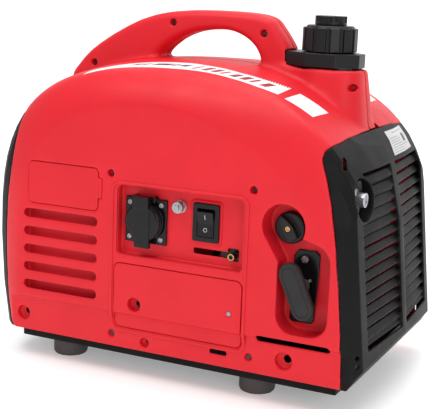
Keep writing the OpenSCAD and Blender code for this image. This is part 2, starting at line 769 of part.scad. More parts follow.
module starter_grip() {
  color("#2c2c2e") {
    translate([158.5, -150, 131.5]) rotate([0, -24, 0]) hull() for (s = [-1, 1]) {
      translate([0, 0, s * 19]) rotate([-90, 0, 0]) cylinder(h = 9, r = 10, $fn = 32);
      translate([0, 2.5, s * 19]) rotate([-90, 0, 0]) cylinder(h = 5, r = 12, $fn = 32);
    }
    translate([rope_x, -142, rope_z]) rotate([-90, 0, 0]) cylinder(h = 10, r1 = 8, r2 = 4.5, $fn = 32);
  }
}

module starter_rope() {
  color("#e9e6dc") translate([rope_x, -131.9, rope_z]) rotate([-90, 0, 0])
    cylinder(h = 131.9 + shaft_y - 6, r = 1.9, $fn = 16);
}

module on_shaft() {
  translate([0, shaft_y, shaft_z]) rotate([90, 0, 90]) children();
}

module rope_winding() {
  color("#e9e6dc") on_shaft() translate([0, 0, rope_x - 3.4]) difference() {
    cylinder(h = 6.8, r = rope_wind_r - 2.2, $fn = 64);
    translate([0, 0, -1]) cylinder(h = 10, r = rope_wind_r - 9.9, $fn = 64);
  }
}

module starter_reel() {
  color("#3a3a3c") on_shaft() translate([0, 0, rope_x - 5.5]) difference() {
    union() {
      cylinder(h = 11, r = rope_wind_r - 10, $fn = 64);
      cylinder(h = 2, r = rope_wind_r + 4, $fn = 64);
      translate([0, 0, 9]) cylinder(h = 2, r = rope_wind_r + 4, $fn = 64);
    }
    translate([0, 0, -1]) cylinder(h = 20, r = 6.05);
    for (a = [0:60:300]) rotate([0, 0, a]) translate([22, 0, -1]) cylinder(h = 20, r = 6);
  }
}

module starter_spring() {
  color("#77797c") on_shaft() translate([0, 0, rope_x + 6.2]) for (i = [0:4]) difference() {
    cylinder(h = 7, r = 14 + 3.6 * i, $fn = 64);
    translate([0, 0, -1]) cylinder(h = 9, r = 13 + 3.6 * i, $fn = 64);
  }
}

module starter_housing() {
  color("#2f3032") difference() {
    on_shaft() {
      difference() {
        translate([0, 0, 152]) cylinder(h = 27.5, r = 55.5, $fn = 64);
        translate([0, 0, 151]) cylinder(h = 26, r = 53, $fn = 64);
        for (a = [0:45:315]) rotate([0, 0, a]) translate([40, 0, 170]) cylinder(h = 20, r = 7, $fn = 32);
      }
      translate([0, 0, 157]) cylinder(h = 21, r = 6, $fn = 48);
    }
    translate([rope_x, -90, rope_z]) rotate([-90, 0, 0]) cylinder(h = 80, r = 3.5);
  }
}

module starter_cup() {
  color(steel) on_shaft() translate([0, 0, 137.2]) difference() {
    cylinder(h = 14, r = 26, $fn = 48);
    translate([0, 0, 2]) cylinder(h = 14, r = 24, $fn = 48);
    translate([0, 0, -1]) cylinder(h = 6, r = 7.5);
  }
}

// ---------- fuel system ----------
module filler_collar() {
  color(black) difference() {
    union() {
      translate([0, 0, neck_top + gap]) linear_extrude(15.6) collar_plan(0);
      intersection() {
        translate([neck_x, 0, neck_top - 5]) cylinder(h = 6, r = 38, $fn = 48);
        translate([112, -26.5, neck_top - 6]) cube([48, 53, 8]);
      }
    }
    translate([neck_x, 0, neck_top - 10]) cylinder(h = 40, r = 26);
  }
}

module tank_profile(inset) {
  polygon([[-90 + inset, 256 + inset], [-90 + inset, 312 - inset], [-70 + inset, 326 - inset], [40, 326 - inset],
    [110 - inset / 2, 306 - inset], [152 - inset, 282 - inset], [164 - inset, 262 - inset],
    [160 - inset, 256 + inset]]);
}

module fuel_tank() {
  color("#1f1f21") difference() {
    union() {
      prism_y(-84, 84) tank_profile(0);
      translate([neck_x, 0, 280]) cylinder(h = neck_top + 12 - 280, r = 24);
      translate([-40, -60, 244]) cylinder(h = 14, r = 6);
    }
    prism_y(-82, 82) tank_profile(2);
    translate([neck_x, 0, 270]) cylinder(h = 120, r = 21.5);
    translate([-40, -60, 230]) cylinder(h = 40, r = 3.05);
  }
}

cap_z = neck_top + 16.4;

module fuel_cap() {
  color("#262628") translate([neck_x, 0, 0]) {
    difference() {
      union() {
        translate([0, 0, cap_z]) cylinder(h = 26, r = 27.5, $fn = 64);
        translate([0, 0, cap_z + 26]) cylinder(h = 3, r1 = 27.5, r2 = 25.5, $fn = 64);
        for (a = [0:30:330]) rotate([0, 0, a]) translate([0, -5.2, cap_z + 1]) cube([30, 10.4, 25.4]);
      }
      translate([0, 0, cap_z - 1]) cylinder(h = 12.8, r = 25, $fn = 64);
      translate([0, 0, cap_z + 20]) cylinder(h = 30, r = 4.05, $fn = 32);
    }
    translate([0, 0, cap_z - 16]) difference() {
      cylinder(h = 28, r = 20.5, $fn = 64);
      translate([0, 0, -e]) cylinder(h = 20, r = 18, $fn = 64);
    }
  }
}

module cap_gasket() {
  color("#161616") translate([neck_x, 0, neck_top + 12.3]) difference() {
    cylinder(h = 3.6, r = 24.4, $fn = 48);
    translate([0, 0, -1]) cylinder(h = 6, r = 21, $fn = 48);
  }
}

module vent_knob() {
  color("#1e1e20") translate([neck_x, 0, cap_z + 29.4]) {
    difference() {
      cylinder(h = 10, r = 17.5, $fn = 48);
      for (a = [0:60:300]) rotate([0, 0, a]) translate([20.5, 0, 3]) cylinder(h = 10, r = 6, $fn = 32);
    }
    translate([0, 0, -9]) cylinder(h = 10, r = 4, $fn = 32);
  }
}

module shell_screws() {
  color(steel) {
    for (p = boss_holes) translate([p[0], face_y + 8.95, p[1]]) pan_screw(3.6, 6);
    for (s = [0, 1], p = handle_screws) mirror([0, s, 0]) translate([p[0], -handle_w / 2 + 8, p[1]]) pan_screw(3.6, 7);
  }
}

// ---------- engine ----------
cyl_x = 80;
pin_r = 8;
mount_x = [66, 96];
case_top = 135;
head_z = 205;

module crankcase() {
  color(alloy) difference() {
    union() {
      translate([54, -48, 45]) cube([52, 76, case_top - 45]);
      for (x = mount_x, y = [-38, 18]) translate([x, y, 45.1]) cylinder(h = 10, r = 11);
    }
    translate([50, -41, 51]) cube([50, 62, case_top - 57]);
    translate([cyl_x, shaft_y, 100]) cylinder(h = 60, r = bore_d / 2 + 0.5);
    translate([40, shaft_y, shaft_z]) rotate([0, 90, 0]) cylinder(h = 80, r = 15);
  }
}

module crankcase_cover() {
  color(alloy) difference() {
    translate([47.9, -48, 45]) cube([6, 76, case_top - 45]);
    translate([40, shaft_y, shaft_z]) rotate([0, 90, 0]) cylinder(h = 20, r = 15);
  }
}

module main_bearings() {
  color(steel) for (x = [47.9, 100]) translate([x, shaft_y, shaft_z]) rotate([0, 90, 0]) difference() {
    cylinder(h = 6, r = 14.97, $fn = 48);
    translate([0, 0, -1]) cylinder(h = 8, r = 8.05, $fn = 48);
  }
}

module crankshaft() {
  color(steel) on_shaft() {
    translate([0, 0, 42]) cylinder(h = 26, r = 8, $fn = 48);
    translate([0, 0, 92]) cylinder(h = 45, r = 8, $fn = 48);
    translate([0, 0, 137]) cylinder(h = 10, r = 7.4, $fn = 48);
    for (x = [64, 88]) translate([0, 0, x]) {
      translate([-10, -4, 0]) cube([20, stroke / 2 + 8, 8]);
      intersection() {
        cylinder(h = 8, r = 27, $fn = 48);
        translate([-27, -27, 0]) cube([54, 25, 8]);
      }
    }
    translate([0, stroke / 2, 70]) cylinder(h = 20, r = pin_r, $fn = 48);
  }
}

module flywheel_rotor() {
  color("#8b8d90") on_shaft() difference() {
    translate([0, 0, 110]) cylinder(h = 22, r = 43, $fn = 64);
    translate([0, 0, 109]) cylinder(h = 19, r = 38.6, $fn = 64);
    translate([0, 0, 120]) cylinder(h = 20, r = 8.05);
  }
}

module rotor_magnets() {
  color("#4a4b4e") on_shaft() translate([0, 0, 111]) for (a = [0:30:330]) rotate([0, 0, a])
    rotate_extrude(angle = 26, $fn = 96) translate([34.5, 0]) square([4, 16]);
}

module stator() {
  color("#b06a2c") on_shaft() translate([0, 0, 107]) difference() {
    union() {
      cylinder(h = 19, r = 18, $fn = 48);
      for (a = [0:30:330]) rotate([0, 0, a]) translate([14, -3, 4]) cube([19, 6, 14]);
      translate([0, 0, -0.9]) cylinder(h = 3, r = 22, $fn = 48);
    }
    translate([0, 0, -2]) cylinder(h = 30, r = 10);
  }
}

module cooling_fan() {
  color("#2a2a2c") on_shaft() translate([0, 0, 132.2]) difference() {
    union() {
      cylinder(h = 3, r = 50, $fn = 64);
      for (a = [0:30:330]) rotate([0, 0, a]) translate([30, -1, 0]) rotate([0, 0, 18]) cube([19, 2, 14]);
    }
    translate([0, 0, -1]) cylinder(h = 20, r = 8.6);
  }
}

module fan_shroud() {
  color("#2f3032") {
    on_shaft() translate([0, 0, 108]) difference() {
      cylinder(h = 43.6, r = 55.5, $fn = 64);
      translate([0, 0, -1]) cylinder(h = 60, r = 53, $fn = 64);
    }
    // mounting legs that meet the round shroud from below
    difference() {
      for (y = [-38, 18]) translate([112, y - 6, foot_h + 3.1]) cube([34, 12, 28]);
      translate([100, shaft_y, shaft_z]) rotate([0, 90, 0]) cylinder(h = 60, r = 54.5, $fn = 64);
    }
  }
}

module cylinder_barrel() {
  color(alloy) translate([cyl_x, shaft_y, case_top + 0.1]) difference() {
    union() {
      cylinder(h = head_z - case_top - 0.2, r = 26, $fn = 64);
      for (i = [0:6]) translate([0, 0, 14 + i * 8]) translate([-38, -38, 0]) cube([76, 76, 2.4]);
    }
    translate([0, 0, -1]) cylinder(h = 90, r = bore_d / 2, $fn = 64);
  }
}

module piston() {
  color("#c4c6c8") translate([cyl_x, shaft_y, 0]) difference() {
    union() {
      translate([0, 0, 168]) cylinder(h = 34, r = bore_d / 2 - 0.1, $fn = 64);
    }
    for (z = [188, 192.5, 197]) translate([0, 0, z]) difference() {
      cylinder(h = 1.5, r = bore_d / 2 + 1, $fn = 64);
      translate([0, 0, -1]) cylinder(h = 4, r = bore_d / 2 - 2, $fn = 64);
    }
    translate([0, 0, 167]) cylinder(h = 18, r = bore_d / 2 - 4, $fn = 64);
  }
}

module connecting_rod() {
  color(alloy) translate([cyl_x, shaft_y, 0]) {
    translate([-4, -5, 124]) cube([8, 10, 52]);
    translate([0, -14, 178]) rotate([-90, 0, 0]) cylinder(h = 28, r = 5, $fn = 48);
    translate([-5, 0, 0]) prism_x(0, 10) polygon([[-13, 122], [13, 122], [8, 130], [-8, 130]]);
  }
}

module cylinder_head() {
  color(alloy) translate([cyl_x, shaft_y, head_z]) difference() {
    union() {
      translate([-30, -30, 0]) cube([60, 60, 28]);
      for (i = [0:3]) translate([-38, -38, 2 + i * 7]) cube([76, 76, 2.4]);
      translate([-24, -26, 28]) cube([48, 52, 14]);
    }
    translate([0, 0, -e]) cylinder(h = 6, r = bore_d / 2, $fn = 64);
    translate([0, -50, 14]) rotate([-90, 0, 0]) cylinder(h = 40, r = 6.05);
    translate([20, 12, 12]) rotate([0, 90, 0]) cylinder(h = 40, r = 8);
    translate([-60, 0, 12]) rotate([0, 90, 0]) cylinder(h = 40, r = 7);
  }
}

module spark_plug() {
  color(steel) translate([cyl_x, shaft_y - 12, head_z + 14]) rotate([90, 0, 0]) {
    cylinder(h = 30, r = 6, $fn = 48);
    translate([0, 0, 26.2]) cylinder(h = 9, r = 9, $fn = 6);
    translate([0, 0, 30]) cylinder(h = 20, r = 4.5, $fn = 32);
  }
}

// Round tube through a list of points
module tube(points, r) {
  for (i = [0:len(points) - 2]) {
    v = points[i + 1] - points[i];
    l = norm(v);
    translate(points[i]) rotate([0, acos(v[2] / l), atan2(v[1], v[0])]) cylinder(h = l, r = r, $fn = 16);
    if (i > 0) translate(points[i]) sphere(r = 1.08 * r, $fn = 16);
  }
}

lead_route = [[80, -92, 219], [74, -98, 210], [66, -96, 190], [62, -84, 172], [62, -78, 160.2]];
hose_route = [[141.5, -110, 180], [132, -104, 158], [108, -100, 146], [60, -102, 128], [34, -78, 136],
  [31, -40, 160], [31, -22, 176.2]];

module ignition_lead() {
  color("#1b1b1b") {
    difference() {
      translate([80, -60, 219]) rotate([90, 0, 0]) cylinder(h = 34, r = 8, $fn = 32);
      translate([80, -59, 219]) rotate([90, 0, 0]) cylinder(h = 15, r = 4.6, $fn = 32);
    }
    tube(lead_route, 3.5);
  }
}

module ignition_coil() {
  color("#303236") {
    translate([52, -90, 136]) cube([20, 24, 24]);
    translate([55, -66, 140]) cube([14, 18, 8]);
  }
  color(steel) translate([56, -58, case_top - 9]) cube([12, 9.9, 14]);
}

module carburettor() {
  color(alloy) difference() {
    union() {
      translate([12, shaft_y, head_z + 12]) rotate([0, 90, 0]) cylinder(h = 29.8, r = 14);
      translate([18, shaft_y - 14, head_z - 14]) cube([23.8, 28, 26]);
      translate([26.9, shaft_y, 176.5]) cylinder(h = 16, r = 14.4);
    }
    translate([0, shaft_y, head_z + 12]) rotate([0, 90, 0]) cylinder(h = 60, r = 8);
  }
}

module air_box() {
  color("#222224") difference() {
    translate([-70, -60, 150]) cube([81.9, 100, 84]);
    translate([-67.5, -57.5, 152.5]) cube([76.9, 95, 79]);
    translate([0, shaft_y, head_z + 12]) rotate([0, 90, 0]) cylinder(h = 40, r = 9);
    for (i = [0:4]) translate([-75, -48 + i * 18, 165]) cube([10, 9, 50]);
  }
}

module air_filter() {
  color("#c9a95c") translate([-60, -54, 155]) cube([30, 88, 74]);
}

module muffler() {
  color("#6f7073") difference() {
    union() {
      translate([158, -114, 166]) cube([40, 154, 76]);
      translate([118.2, 2, head_z + 12]) rotate([0, 90, 0]) cylinder(h = 42, r = 8);
      for (z = [180, 226]) translate([156.5, -115, z]) cube([43, 156, 4]);
    }
    translate([160, -112, 168]) cube([36, 150, 72]);
    translate([110, 2, head_z + 12]) rotate([0, 90, 0]) cylinder(h = 60, r = 6.5);
    translate([190, -103, 226]) rotate([0, 90, 0]) cylinder(h = 40, r = 7.6);
  }
}

module exhaust_outlet() {
  color("#d9dadc") translate([194, -103, 226]) rotate([0, 90, 0]) difference() {
    union() {
      cylinder(h = 18.5, r = 7.5, $fn = 48);
      translate([0, 0, 6]) cylinder(h = 2, r = 11, $fn = 48);
    }
    translate([0, 0, -1]) cylinder(h = 30, r = 6, $fn = 48);
  }
}

module inverter_module() {
  color("#8f9295") difference() {
    union() {
      translate([-196, -70, 40]) cube([70, 140, 130]);
      for (i = [0:9]) translate([-126.5, -68 + i * 14.8, 40]) cube([16, 2.4, 130]);
      for (x = [-184, -140], y = [-64, 56]) translate([x, y, foot_h + 3.1]) cube([8, 8, 20]);
    }
    translate([-192, -66, 44]) cube([62, 132, 122]);
  }
}

module engine_mounts() {
  color("#1a1a1a") for (x = mount_x, y = [-38, 18]) translate([x, y, skirt_z + 0.05]) difference() {
    cylinder(h = 9.9, r = 10.5, $fn = 32);
    translate([0, 0, 3.5]) difference() {
      cylinder(h = 3, r = 12, $fn = 32);
      translate([0, 0, -1]) cylinder(h = 5, r = 8.5, $fn = 32);
    }
  }
}

module fuel_hose() {
  color("#1b1b1b") tube(hose_route, 3);
}

front_shell();
rear_shell();
right_end_cover();
left_end_cover();
base_pan();
feet();
control_panel();
service_cover();
cover_screw();
storage_cover();
socket_body();
socket_contacts();
socket_lid();
lid_pin();
panel_screws();
earth_terminal();
switch_bezel();
switch_rocker();
choke_lever();
fuel_valve_body();
fuel_valve_knob();
knob_screw();
starter_plate();
starter_grip();
starter_rope();
rope_winding();
starter_reel();
starter_spring();
starter_housing();
starter_cup();
filler_collar();
fuel_tank();
fuel_cap();
cap_gasket();
vent_knob();
shell_screws();
crankcase();
crankcase_cover();
main_bearings();
crankshaft();
flywheel_rotor();
rotor_magnets();
stator();
cooling_fan();
fan_shroud();
cylinder_barrel();
piston();
connecting_rod();
cylinder_head();
spark_plug();
ignition_lead();
ignition_coil();
carburettor();
air_box();
air_filter();
muffler();
exhaust_outlet();
inverter_module();
engine_mounts();
fuel_hose();
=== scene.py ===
import json
import math

import bmesh
import bpy
import numpy as np
from mathutils import Matrix, Vector
from mathutils.bvhtree import BVHTree


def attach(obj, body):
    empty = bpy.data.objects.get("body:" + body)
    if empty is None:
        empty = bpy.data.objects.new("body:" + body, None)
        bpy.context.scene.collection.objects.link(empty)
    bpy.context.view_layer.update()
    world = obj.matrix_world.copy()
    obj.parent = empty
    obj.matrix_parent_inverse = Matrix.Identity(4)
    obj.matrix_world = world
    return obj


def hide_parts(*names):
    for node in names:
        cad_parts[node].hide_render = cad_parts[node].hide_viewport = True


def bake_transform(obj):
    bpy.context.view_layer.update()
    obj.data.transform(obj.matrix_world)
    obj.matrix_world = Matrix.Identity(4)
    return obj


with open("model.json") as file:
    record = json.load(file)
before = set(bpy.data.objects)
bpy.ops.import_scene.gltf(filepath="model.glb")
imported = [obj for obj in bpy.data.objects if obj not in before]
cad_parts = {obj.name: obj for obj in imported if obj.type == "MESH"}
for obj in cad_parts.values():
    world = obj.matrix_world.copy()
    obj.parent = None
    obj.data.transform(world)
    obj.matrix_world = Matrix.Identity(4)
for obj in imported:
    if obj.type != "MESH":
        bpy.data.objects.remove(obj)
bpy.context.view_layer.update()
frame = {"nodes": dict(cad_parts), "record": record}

SLOT_OF = {s["node"]: s["material_slot"] for s in frame["record"]["subparts"]}
BODY_OF = {n: b for b, names in frame["record"]["behaviour"]["bodies"].items() for n in names}

MM = 0.001  # the forms below are drawn in millimetres, and the frame is in metres


# ---------- camera: three quarters from the front and the exhaust end ----------
camera = bpy.data.objects.new("camera", bpy.data.cameras.new("camera"))
bpy.context.scene.collection.objects.link(camera)
CAM_AZ, CAM_PITCH, CAM_ROLL = math.radians(24.825), math.radians(11.430), math.radians(2.280)
CAM_AT, CAM_DIST = Vector((-0.00225, 0.0, 0.17865)), 1.32947
CAM_SENSOR, CAM_LENS = 36, 93.32
forward = Vector((-math.sin(CAM_AZ) * math.cos(CAM_PITCH), math.cos(CAM_AZ) * math.cos(CAM_PITCH),
                  -math.sin(CAM_PITCH)))
right = Vector((math.cos(CAM_AZ), math.sin(CAM_AZ), 0.0))
up = right.cross(forward)
right, up = (math.cos(CAM_ROLL) * right + math.sin(CAM_ROLL) * up,
             math.cos(CAM_ROLL) * up - math.sin(CAM_ROLL) * right)
pose = Matrix((right, up, -forward)).transposed().to_4x4()
pose.translation = CAM_AT - forward * CAM_DIST
camera.matrix_world = pose
camera.data.sensor_width = CAM_SENSOR
camera.data.lens = CAM_LENS
bpy.context.scene.camera = camera


# ---------- materials ----------
MIX_COLOUR_INPUTS, MIX_COLOUR_OUTPUT = (0, 6, 7), 2  # sockets of a Mix node that mixes colours


class Nodes:
    """Short hands for building a node material."""

    def __init__(self, name):
        self.mat = bpy.data.materials.new(name)
        self.mat.use_nodes = True
        self.tree = self.mat.node_tree
        self.tree.nodes.clear()
        self.out = self.add("ShaderNodeOutputMaterial")
        self.bsdf = self.add("ShaderNodeBsdfPrincipled")
        self.link(self.bsdf.outputs[0], self.out.inputs[0])
        self.coords = self.add("ShaderNodeTexCoord").outputs["Object"]

    def add(self, kind, **values):
        node = self.tree.nodes.new(kind)
        for key, value in values.items():
            if hasattr(node, key):
                setattr(node, key, value)
            else:
                node.inputs[key.replace("_", " ")].default_value = value
        return node

    def link(self, a, b):
        self.tree.links.new(a, b)

    def noise(self, scale, detail=3.0, rough=0.6, stretch=(1, 1, 1)):
        node = self.add("ShaderNodeTexNoise", Scale=scale, Detail=detail, Roughness=rough)
        mapping = self.add("ShaderNodeMapping")
        mapping.inputs["Scale"].default_value = stretch
        self.link(self.coords, mapping.inputs["Vector"])
        self.link(mapping.outputs[0], node.inputs["Vector"])
        return node.outputs[0]

    def ramp(self, source, low, high, a=0.0, b=1.0):
        node = self.add("ShaderNodeMapRange")
        for key, value in (("From Min", a), ("From Max", b), ("To Min", low), ("To Max", high)):
            node.inputs[key].default_value = value
        self.link(source, node.inputs["Value"])
        return node.outputs[0]

    def mix(self, factor, a, b):
        node = self.add("ShaderNodeMix", data_type="RGBA", blend_type="MIX")
        for index, value in zip(MIX_COLOUR_INPUTS, (factor, a, b)):
            socket = node.inputs[index]
            if isinstance(value, (int, float)):
                socket.default_value = value
            elif isinstance(value, (tuple, list)):
                socket.default_value = (*value[:3], 1)
            else:
                self.link(value, socket)
        return node.outputs[MIX_COLOUR_OUTPUT]

    def bump(self, *layers):
        normal = None
        for source, distance in layers:
            node = self.add("ShaderNodeBump", Strength=1.0, Distance=distance)
            self.link(source, node.inputs["Height"])
            if normal:
                self.link(normal, node.inputs["Normal"])
            normal = node.outputs[0]
        self.link(normal, self.bsdf.inputs["Normal"])

    def set(self, **values):
        for key, value in values.items():
            socket = self.bsdf.inputs[key.replace("_", " ")]
            if hasattr(value, "links"):
                self.link(value, socket)
            elif isinstance(value, (tuple, list)):
                socket.default_value = (*value[:3], 1)
            else:
                socket.default_value = value


def plastic(name, base, rough, grain, wear, speck, scuff, shine):
    """Moulded plastic: fine spark-eroded grain, faint flow marks, worn lighter edges."""
    m = Nodes(name)
    mottle = m.noise(14.0, 4.0)
    fine = m.noise(260.0, 3.0, 0.7)
    tone = [c * (1 - speck) for c in base]
    colour = m.mix(m.ramp(mottle, 0.0, 1.0, 0.35, 0.65), base, tone)
    edge = m.ramp(m.add("ShaderNodeNewGeometry").outputs["Pointiness"], 0.0, wear, 0.53, 0.62)
    colour = m.mix(edge, colour, scuff)
    m.set(Base_Color=colour, Roughness=m.ramp(mottle, rough - 0.05, rough + 0.07, 0.3, 0.7))
    m.bsdf.inputs["Specular IOR Level"].default_value = shine
    m.bump((fine, grain), (m.noise(1100.0, 2.0), grain * 0.5), (mottle, 0.00006))
    return m.mat


def metal(name, base, rough, stretch=(1, 1, 1), scale=220.0, grain=0.00001, metallic=1.0):
    """Plated, cast or drawn metal, by the scale and the direction of its grain."""
    m = Nodes(name)
    grain_noise = m.noise(scale, 4.0, 0.7, stretch)
    blotch = m.noise(38.0, 4.0)
    dark = [0.75 * c for c in base]
    m.set(Base_Color=m.mix(m.ramp(blotch, 0.0, 1.0, 0.4, 0.66), base, dark), Metallic=metallic,
          Roughness=m.ramp(grain_noise, rough - 0.06, rough + 0.12, 0.3, 0.7))
    m.bump((grain_noise, grain), (blotch, grain * 2))
    return m.mat


def rubber(name, base):
    """Rubber or foam with patches of dust."""
    m = Nodes(name)
    dust = m.noise(30.0, 5.0)
    m.set(Base_Color=m.mix(m.ramp(dust, 0.0, 0.4, 0.5, 0.75), base, [c + 0.035 for c in base]),
          Roughness=m.ramp(dust, 0.62, 0.85, 0.3, 0.7))
    m.bump((m.noise(420.0, 3.0), 0.00006), (m.noise(90.0, 2.0), 0.0001))
    return m.mat


def braided(name, base, dark, pitch):
    """Twisted and braided fibre, such as rope and copper windings."""
    m = Nodes(name)
    wave = m.add("ShaderNodeTexWave", Scale=pitch, Distortion=1.5, Detail=2.0)
    wave.bands_direction = "DIAGONAL"
    m.link(m.coords, wave.inputs["Vector"])
    m.set(Base_Color=m.mix(wave.outputs["Fac"], dark, base), Roughness=0.7)
    m.bump((wave.outputs["Fac"], 0.0004), (m.noise(700.0), 0.0001))
    return m.mat


def printed(name, base):
    """Vinyl film or printing ink, a little uneven."""
    rough = 0.3
    m = Nodes(name)
    cloud = m.noise(45.0, 4.0)
    m.set(Base_Color=m.mix(m.ramp(cloud, 0.0, 0.5, 0.45, 0.75), base, [0.9 * c for c in base]),
          Roughness=m.ramp(cloud, rough, rough + 0.15, 0.3, 0.7))
    m.bump((m.noise(600.0), 0.00001))
    return m.mat


RED = (0.69, 0.011, 0.022)
MATS = {
    "red_shell": plastic("red_plastic", RED, rough=0.47, grain=0.00005, wear=0.3, speck=0.07,
                         scuff=(0.86, 0.08, 0.09), shine=0.3),
    "black_cover": plastic("black_plastic", (0.007, 0.0065, 0.007), rough=0.5, grain=0.00009, wear=0.3,
                           speck=0.3, scuff=(0.035, 0.034, 0.036), shine=0.12),
    "black_gloss": plastic("gloss_black_plastic", (0.005, 0.005, 0.006), rough=0.2, grain=0.00001, wear=0.25,
                           speck=0.3, scuff=(0.03, 0.03, 0.032), shine=0.25),
    "knob_black": plastic("knob_plastic", (0.010, 0.009, 0.011), rough=0.34, grain=0.00004, wear=0.4,
                          speck=0.3, scuff=(0.05, 0.05, 0.055), shine=0.28),
    "rubber_black": rubber("black_rubber", (0.011, 0.010, 0.010)),
    "dusty_rubber": rubber("dusty_rubber", (0.065, 0.056, 0.057)),
    "rope": braided("braided_nylon", (0.75, 0.73, 0.66), (0.25, 0.24, 0.22), 900.0),
    "bright_steel": metal("zinc_plate", (0.42, 0.42, 0.44), 0.34),
    # steel painted dark for the shell screws: painted shade standing in for the shadow in their deep holes
    "screw_painted_shade": metal("steel_painted_shade", (0.14, 0.13, 0.13), 0.4),
    "chrome_tube": metal("bright_tube", (0.50, 0.50, 0.53), 0.26, stretch=(1, 14, 14), scale=120.0,
                         metallic=0.85),
    "brass": metal("brass", (0.55, 0.33, 0.12), 0.3),
    "cast_alloy": metal("cast_alloy", (0.50, 0.51, 0.52), 0.42, scale=520.0, grain=0.00012),
    "dark_iron": metal("dark_iron", (0.10, 0.10, 0.105), 0.55, scale=420.0, grain=0.0001),
    "copper_winding": braided("copper_windings", (0.62, 0.27, 0.10), (0.18, 0.06, 0.02), 500.0),
    "filter_foam": rubber("filter_foam", (0.55, 0.42, 0.18)),
    "label_white": printed("white_vinyl", (0.88, 0.88, 0.88)),
    "label_plate": printed("plate_film", (0.58, 0.57, 0.58)),
    "label_grey": printed("grey_ink", (0.30, 0.30, 0.31)),
    "label_dark": printed("dark_ink", (0.05, 0.03, 0.035)),
    "label_red": printed("red_ink", (0.36, 0.010, 0.018)),
    "mark_grey": printed("switch_mark", (0.42, 0.42, 0.43)),
}
# the shell screws take the darkened steel, which is painted shade of their deep holes
OWN_FINISH = {"feet": "dusty_rubber", "shell_screws": "screw_painted_shade"}  # nodes finished apart from their slot

for node, obj in frame["nodes"].items():
    obj.data.materials.clear()
    obj.data.materials.append(MATS[SLOT_OF[node]])


# ---------- solid modelling in millimetres ----------
def link(obj):
    bpy.context.scene.collection.objects.link(obj)
    return obj


def repair(mesh, gap=0.0):
    """Turns a mesh's faces outwards, after closing the gaps between its points where a gap is given."""
    bm = bmesh.new()
    bm.from_mesh(mesh)
    if gap:
        bmesh.ops.remove_doubles(bm, verts=bm.verts, dist=gap)
    bmesh.ops.recalc_face_normals(bm, faces=bm.faces)
    bm.to_mesh(mesh)
    bm.free()


def solid(verts, faces):
    mesh = bpy.data.meshes.new("tool")
    mesh.from_pydata([tuple(v) for v in verts], [], faces)
    repair(mesh)
    return link(bpy.data.objects.new("tool", mesh))


def stack(rings):
    """A closed solid through rings of the same number of points."""
    n, m = len(rings[0]), len(rings)
    verts = [p for ring in rings for p in ring]
    faces = [list(range(n))[::-1], [(m - 1) * n + j for j in range(n)]]
    for i in range(m - 1):
        for j in range(n):
            k = (j + 1) % n
            faces.append([i * n + j, i * n + k, (i + 1) * n + k, (i + 1) * n + j])
    return solid(verts, faces)


def hoop(verts, count, size):
    """A closed solid through equal sections that follow one another round a loop."""
    return solid(verts, [[i * size + j, i * size + (j + 1) % size,
                          (i + 1) % count * size + (j + 1) % size, (i + 1) % count * size + j]
                         for i in range(count) for j in range(size)])


def prism(axis, poly, a, b):
    """An outline drawn out along an axis from a to b."""
    place = {"x": lambda p, t: (t, p[0], p[1]), "y": lambda p, t: (p[0], t, p[1]),
             "z": lambda p, t: (p[0], p[1], t)}[axis]
    return stack([[place(p, a) for p in poly], [place(p, b) for p in poly]])


def block(x0, x1, y0, y1, z0, z1):
    return prism("z", [(x0, y0), (x1, y0), (x1, y1), (x0, y1)], z0, z1)


def arc(cx, cz, r, t0, t1, n):
    return [(cx + r * math.cos(math.radians(t0 + (t1 - t0) * i / n)),
             cz + r * math.sin(math.radians(t0 + (t1 - t0) * i / n))) for i in range(n + 1)]


def circle(cx, cz, r, n=48):
    return arc(cx, cz, r, 0, 360, n)[:-1]


def round_rect(x0, x1, z0, z1, r, grow=0.0, n=8):
    r = r + grow
    x0, x1, z0, z1 = x0 - grow + r, x1 + grow - r, z0 - grow + r, z1 + grow - r
    return (arc(x1, z1, r, 0, 90, n) + arc(x0, z1, r, 90, 180, n) + arc(x0, z0, r, 180, 270, n)
            + arc(x1, z0, r, 270, 360, n))


def slot_shape(cx, cz, length, height, n=12):
    h, r = (length - height) / 2, height / 2
    return arc(cx + h, cz, r, -90, 90, n) + arc(cx - h, cz, r, 90, 270, n)


def grown(poly, d):
    """A closed outline moved outwards by d, for smooth outlines listed anticlockwise."""
    out, n = [], len(poly)
    for i in range(n):
        a, b, c = (Vector(poly[(i + k) % n]) for k in (-1, 0, 1))
        e1, e2 = (b - a).normalized(), (c - b).normalized()
        m = Vector((e1.y + e2.y, -e1.x - e2.x))
        m.normalize()
        out.append(tuple(b + m * d / max(0.35, m.dot(Vector((e1.y, -e1.x))))))
    return out


def bake(obj):
    """Applies an object's modifiers."""
    graph = bpy.context.evaluated_depsgraph_get()
    mesh = bpy.data.meshes.new_from_object(obj.evaluated_get(graph))
    obj.modifiers.clear()
    obj.data = mesh
    return obj


def combine(obj, operation, *tools):
    """Applies a boolean of every tool to an object, and uses the tools up."""
    for t in tools:
        mod = obj.modifiers.new("b", "BOOLEAN")
        mod.operation, mod.object, mod.solver = operation, t, "MANIFOLD"
    bake(obj)
    for t in tools:
        bpy.data.objects.remove(t)
    return obj


def join(*objs):
    """One object of several, which stay separate inside it."""
    bm = bmesh.new()
    for o in objs:
        bm.from_mesh(o.data)
    mesh = bpy.data.meshes.new("joined")
    bm.to_mesh(mesh)
    bm.free()
    for o in objs:
        bpy.data.objects.remove(o)
    return link(bpy.data.objects.new("joined", mesh))


def skin(obj, voxel, rounds):
    """Remeshes a solid and smooths it, which gives its edges the small radii of a moulding."""
    mod = obj.modifiers.new("r", "REMESH")
    mod.mode, mod.voxel_size, mod.use_smooth_shade = "VOXEL", voxel, True
    mod = obj.modifiers.new("s", "SMOOTH")
    mod.factor, mod.iterations = 0.5, rounds
    return bake(obj)


def copy_of(obj):
    return link(bpy.data.objects.new(obj.name, obj.data.copy()))


